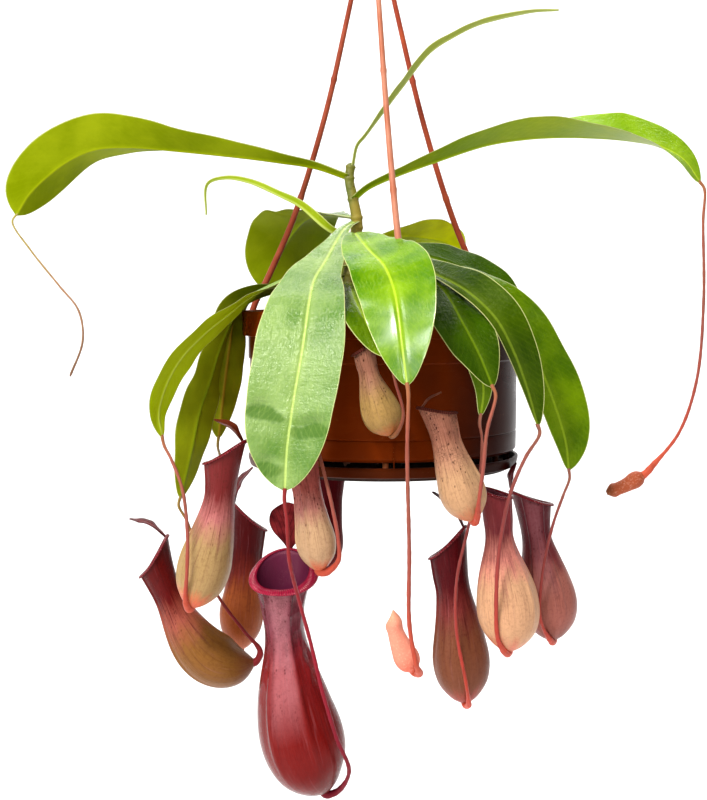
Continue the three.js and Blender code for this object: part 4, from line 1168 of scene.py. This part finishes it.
BLACK_LIP = lip_finish("dark_lip", (74, 10, 16), (128, 24, 34))
CRIMSON_LIP = lip_finish("crimson_lip", (112, 10, 36), (176, 34, 66))
THIN_LIP = lip_finish("thin_lip", (52, 18, 14), (92, 44, 34), 0.4, 0.04)
BROWN_LID = lid_finish("brown_lid", (78, 26, 14), (122, 54, 32), (50, 14, 10))
MAROON_LID = lid_finish("maroon_lid", (62, 12, 16), (112, 32, 34), (34, 6, 8))
DRY_LID = lid_finish("dry_lid", (96, 52, 44), (140, 88, 68), (70, 34, 26))

pitcher("left", [
    (-92, -54, -406), (-86, -52, -388), (-79, -52, -362), (-76, -52, -344), (-74, -52, -328),
], [
    (206, 96, 62), (160, 130, 84), (172, 102, 98), (104, 32, 32), (80, 28, 22), (64, 20, 20),
], BLACK_LIP, BROWN_LID, 13.5, 7.6, 9.6, 170, 14, 20, 5, 50, cup=22)
pitcher("far_left", [
    (-62, -22, -442), (-75, -22, -444), (-89, -22, -437), (-100, -22, -421), (-108, -22, -404),
    (-114, -22, -386),
], [
    (112, 64, 34), (122, 80, 34), (146, 74, 58), (84, 10, 8), (52, 8, 10), (40, 12, 14),
], BLACK_LIP, MAROON_LID, 15, 7.4, 10, 180, 16, 23, 6, 40, relax=60)
pitcher("left_rear", [
    (-72, 10, -443), (-71, 10, -421), (-69, 10, -396), (-67, 10, -370),
], [
    (160, 80, 36), (146, 74, 36), (104, 34, 24), (66, 4, 6), (52, 8, 10), (40, 8, 10),
], BLACK_LIP, MAROON_LID, 12, 8.4, 9.4, 14, 14, 24, 7, 75)
pitcher("small_left", [
    (-26, -86, -381), (-28, -86, -365), (-31, -85, -348), (-34, -82, -329),
], [
    (196, 96, 62), (178, 142, 106), (170, 106, 94), (150, 72, 64), (72, 24, 20), (96, 44, 40),
], THIN_LIP, BROWN_LID, 9.6, 6.6, 7.4, -140, 8, 12, 4.5, 80, specks=1.1, net=0.55)
pitcher("big_front", [
    (-24, -56, -501), (-32, -57, -484), (-39, -58, -459), (-43, -58, -430), (-45, -58, -409),
    (-45, -58, -387),
], [
    (90, 16, 6), (106, 12, 8), (116, 18, 20), (98, 36, 48), (62, 4, 10), (84, 26, 50),
], CRIMSON_LIP, MAROON_LID, 21.3, 10.4, 14.8, -100, 16, 27, 11, 95, 2.2, 1.5, gloss=0.2, specks=0.7,
        net=0.3, panel=0.66, crinkle=5.0, shine=0.22)
pitcher("rear", [
    (-29, 88, -414), (-27, 88, -399), (-25, 88, -378), (-23, 88, -353),
], [
    (84, 14, 14), (76, 10, 12), (68, 8, 10), (64, 6, 10), (46, 6, 10), (40, 12, 14),
], BLACK_LIP, MAROON_LID, 11, 8, 9, 90, 10, 15, 6, 60, shine=0.03)
pitcher("small_centre", [
    (8, -90, -315), (4, -89, -306), (-1, -88, -291), (-5, -87, -274),
], [
    (166, 96, 50), (150, 118, 66), (142, 102, 72), (140, 92, 72), (52, 24, 10), (92, 48, 40),
], THIN_LIP, BROWN_LID, 9.6, 4.9, 5.2, 180, 4, 6, 3, 60, specks=1.4, net=0.75)
pitcher("small_right", [
    (48, -85, -357), (43, -84, -344), (37, -84, -327), (33, -84, -313), (30, -84, -304),
], [
    (186, 112, 74), (182, 140, 102), (172, 122, 94), (144, 92, 72), (46, 18, 10), (104, 52, 48),
], THIN_LIP, DRY_LID, 11.2, 6.9, 8.2, 10, 8, 14, 1.6, 52, gloss=0.34, specks=1.5, net=0.8)
pitcher("right_rear", [
    (48, -40, -459), (46, -39, -440), (44, -38, -416), (41, -38, -395), (39, -38, -376),
], [
    (150, 56, 42), (112, 64, 42), (114, 46, 42), (72, 6, 12), (44, 4, 8), (40, 8, 12),
], BLACK_LIP, MAROON_LID, 14.8, 8.8, 9.8, 165, 15, 26, 6, 60)
pitcher("right_front", [
    (68, -60, -427), (68, -60, -408), (64, -60, -381), (62, -60, -361), (61, -60, -347),
], [
    (200, 112, 84), (198, 150, 112), (208, 128, 112), (112, 42, 44), (86, 24, 34), (70, 24, 34),
], BLACK_LIP, MAROON_LID, 15.6, 7, 7.4, -15, 5, 10, 4, 160)
pitcher("right_outer", [
    (94, -32, -428), (92, -31, -410), (88, -30, -389), (84.5, -30, -370), (82, -30, -354),
], [
    (118, 56, 42), (150, 88, 76), (116, 48, 48), (82, 20, 28), (56, 10, 20), (52, 18, 26),
], BLACK_LIP, MAROON_LID, 14.8, 7.8, 10, 8, 10, 17, 5, 95, panel_turn=-100, panel=0.35)


# ---- Young pitchers ----
# Two that are still shut, soft coral and downy, with a pinched tip.
def downy(name, foot, body, tip_shade):
    """Soft down over a skin shaded from foot to tip."""
    skin = Finish(name, Specular_IOR_Level=0.15, Specular_Tint=(1.0, 0.6, 0.5, 1.0))
    place = skin.place()
    height = skin.attribute("place") + skin.noise(place, 90.0) * 0.3 - 0.15
    skin.colour = skin.node("ShaderNodeValToRGB", [height], stops=[
        (0.0, foot), (0.35, body), (0.8, body), (1.0, tip_shade),
    ])
    down = skin.noise(place, 900.0, 4.0, 0.7)
    skin.paint(down.fade(0.5, 0.7) * 0.3, (250, 196, 170))
    skin.set(Roughness=down * 0.3 + 0.35)
    skin.relief(down + skin.noise(place, 200.0), 0.0004, 0.6)
    return skin.material


def young_pitcher(name, axis, material, belly, neck, mouth, facing, slope):
    """A shut pitcher, a closed bud flattened a little towards its tip."""
    trunk = Axis(axis, facing, slope)
    places = np.linspace(0, 1, 60)
    turns, heights = AROUND[None, ::2], places[:, None]
    radii = pitcher_radius(belly, neck, mouth)(places)[:, None]
    radii = radii * (1 + 0.03 * np.sin(2 * turns + 4 * heights) - 0.05 * np.cos(2 * turns) * heights)
    rings = trunk.rings(places, radii, AROUND[::2])
    shells = Shells()
    shells.loft(rings, place=heights)
    piece = new_object(f"{name}_pitcher", shells.mesh(f"{name}_pitcher"), material)
    built(piece, f"pitcher_{name}")
    pitcher_feet[name] = (np.array(axis[0], float), trunk.ways[0])


young_pitcher(
    "young_centre", [(19, -106, -425), (14, -108, -416), (10, -108, -406), (8, -108, -397)],
    downy("young_coral_skin", (206, 84, 60), (222, 132, 108), (214, 150, 116)),
    6, 4, 1, 180, 3,
)
young_pitcher(
    "young_right", [(145, -8, -344), (135, -8, -350), (125, -8, -354)],
    downy("young_rust_skin", (150, 66, 40), (160, 78, 48), (128, 72, 42)),
    4.6, 3.4, 1, -90, 0,
)


# ---- Tendrils ----
# Each carries on from a leaf's tip, green at first and then red, hangs down, hooks up and
# thickens into the foot of its pitcher. One ends dry and free.
def tendril_finish(name, *shades):
    """Smooth stalk shaded along its length, with fine lengthwise streaks."""
    skin = Finish(name, Specular_IOR_Level=0.15, Specular_Tint=(1.0, 0.6, 0.5, 1.0))
    place = skin.place()
    run = skin.attribute("run") + skin.noise(place, 60.0) * 0.16 - 0.08
    stops = [(index / (len(shades) - 1), shade) for index, shade in enumerate(shades)]
    skin.colour = skin.node("ShaderNodeValToRGB", [run], stops=stops)
    streak = skin.noise(skin.stretch(place, (700.0, 700.0, 90.0)), 1.0, 3.0)
    skin.paint(streak.fade(0.52, 0.72) * 0.3, (90, 40, 30))
    skin.set(Roughness=streak * 0.25 + 0.28)
    skin.relief(streak, 0.0003, 0.5)
    return skin.material


CORAL = tendril_finish(
    "coral_tendril", (146, 92, 60), (142, 76, 62), (134, 74, 60), (138, 72, 62),
    (150, 68, 56), (172, 68, 50), (196, 86, 60),
)
MAUVE = tendril_finish(
    "mauve_tendril", (146, 92, 74), (140, 76, 66), (130, 62, 60), (132, 58, 54),
    (150, 56, 50), (172, 60, 46), (196, 80, 56),
)
DARK_RED = tendril_finish(
    "dark_red_tendril", (130, 110, 50), (132, 60, 50), (116, 34, 38), (130, 38, 42)
)
CRIMSON = tendril_finish(
    "crimson_tendril", (124, 40, 40), (134, 30, 40), (124, 26, 42), (104, 12, 32)
)
TAN = tendril_finish("tan_tendril", (134, 92, 60), (112, 54, 46), (120, 66, 48), (122, 86, 50))
DRY = tendril_finish("dry_tendril", (150, 140, 70), (150, 112, 84), (110, 80, 60))


def tendril(name, leaf_name, route, radius, finish, swell=1.9, holds=None):
    """A stalk from a leaf's tip to the foot of the pitcher of its own or another name, if any."""
    tip, way = leaf_tips[leaf_name]
    held = pitcher_feet.get(holds or name)
    points = [tip - way * 1.2, tip + way * 4, *np.array(route, float)]
    if held:
        foot, toward = held
        points[-1] = foot + (points[-1] - foot) * 0.6 + (0, 0, 1.5)
        points += [foot - toward * 0.5, foot + toward * 6]
    spots, _, run = smooth_path(points, 260)
    share = run / run[-1]
    radii = radius * (0.72 + 0.2 * share)
    if held:
        radii += swell * np.clip(1 - (run[-1] - run) / 26, 0, 1) ** 1.5
    radii *= 1 + 0.05 * np.sin(run * 0.41) + 0.04 * np.sin(run * 1.3)
    radii[:12] *= np.linspace(1.15, 1, 12)
    if not held:
        radii *= rounded_end(share, 0.98, 0.021)
    piece = stalk(f"{name}_tendril", spots, np.maximum(radii, 0.04), finish)
    built(piece, f"tendril_{name}")


tendril("upper_left", "upper_left", [
    (-180, -8, -225), (-165, -8, -244), (-155, -8, -257), (-153, -8, -273), (-160, -8, -292),
], 0.7, DRY)
tendril("upper_right", "upper_right", [
    (174, -8, -210), (175, -8, -251), (172, -8, -294), (163, -8, -322), (153, -8, -338),
], 1.0, CORAL, holds="young_right")
tendril("left", "left_outer", [
    (-101, -54, -331), (-95, -60, -345), (-92, -66, -365), (-92, -69, -384), (-95, -63, -402),
], 1.1, CORAL)
tendril("far_left", "left_middle", [
    (-96, -33, -365), (-88, -31, -389), (-79, -28, -408), (-67, -25, -425), (-57, -23, -435),
], 1.0, DARK_RED)
tendril("left_rear", "left_inner", [
    (-81, 2, -338), (-80, 14, -355), (-78, 26, -385), (-77, 28, -419), (-74, 22, -444),
], 1.0, DARK_RED)
tendril("small_left", "left_lower", [
    (-24, -92, -332), (-20, -96, -348), (-17, -95, -365), (-17, -92, -375), (-20, -88, -384),
], 1.1, CORAL)
tendril("big_front", "front_left", [
    (-41, -105, -354), (-40, -103, -373), (-36, -88, -395), (-31, -79, -417), (-25, -80, -442),
    (-18, -78, -466), (-12, -68, -486), (-15, -58, -502),
], 1.2, CRIMSON)
tendril("rear", "back_centre", [
    (-18, 104, -335), (-20, 105, -370), (-24, 103, -400), (-28, 95, -417),
], 1.0, DARK_RED)
tendril("small_centre", "low_centre", [
    (10, -103, -290), (13.5, -102, -304), (12, -95, -316),
], 0.9, TAN, 0.7)
tendril("small_right", "front_right", [
    (53, -99, -312), (51, -101, -331), (49.5, -97, -346), (50, -91, -357),
], 1.1, CORAL)
tendril("right_rear", "right_under", [
    (53, -71, -319), (52, -67, -340), (47, -60, -366), (42, -58, -391), (42, -57, -417),
    (47, -57, -444), (50, -48, -461),
], 1.0, MAUVE)
tendril("right_front", "right_arching", [
    (74, -73, -328), (66, -80, -345), (61, -80, -372), (60, -76.5, -402), (61.5, -71.5, -418),
    (65, -66, -429),
], 1.2, MAUVE)
tendril("right_outer", "right_outer", [
    (97, -44, -350), (91, -49, -365), (86, -51, -388), (85, -49, -412), (91, -40, -429),
], 1.0, MAUVE)
tendril("young_centre", "front_centre", [
    (15, -111, -320), (16, -114, -367), (16, -118, -400), (19, -118, -418), (22, -111, -428),
], 1.2, CORAL)
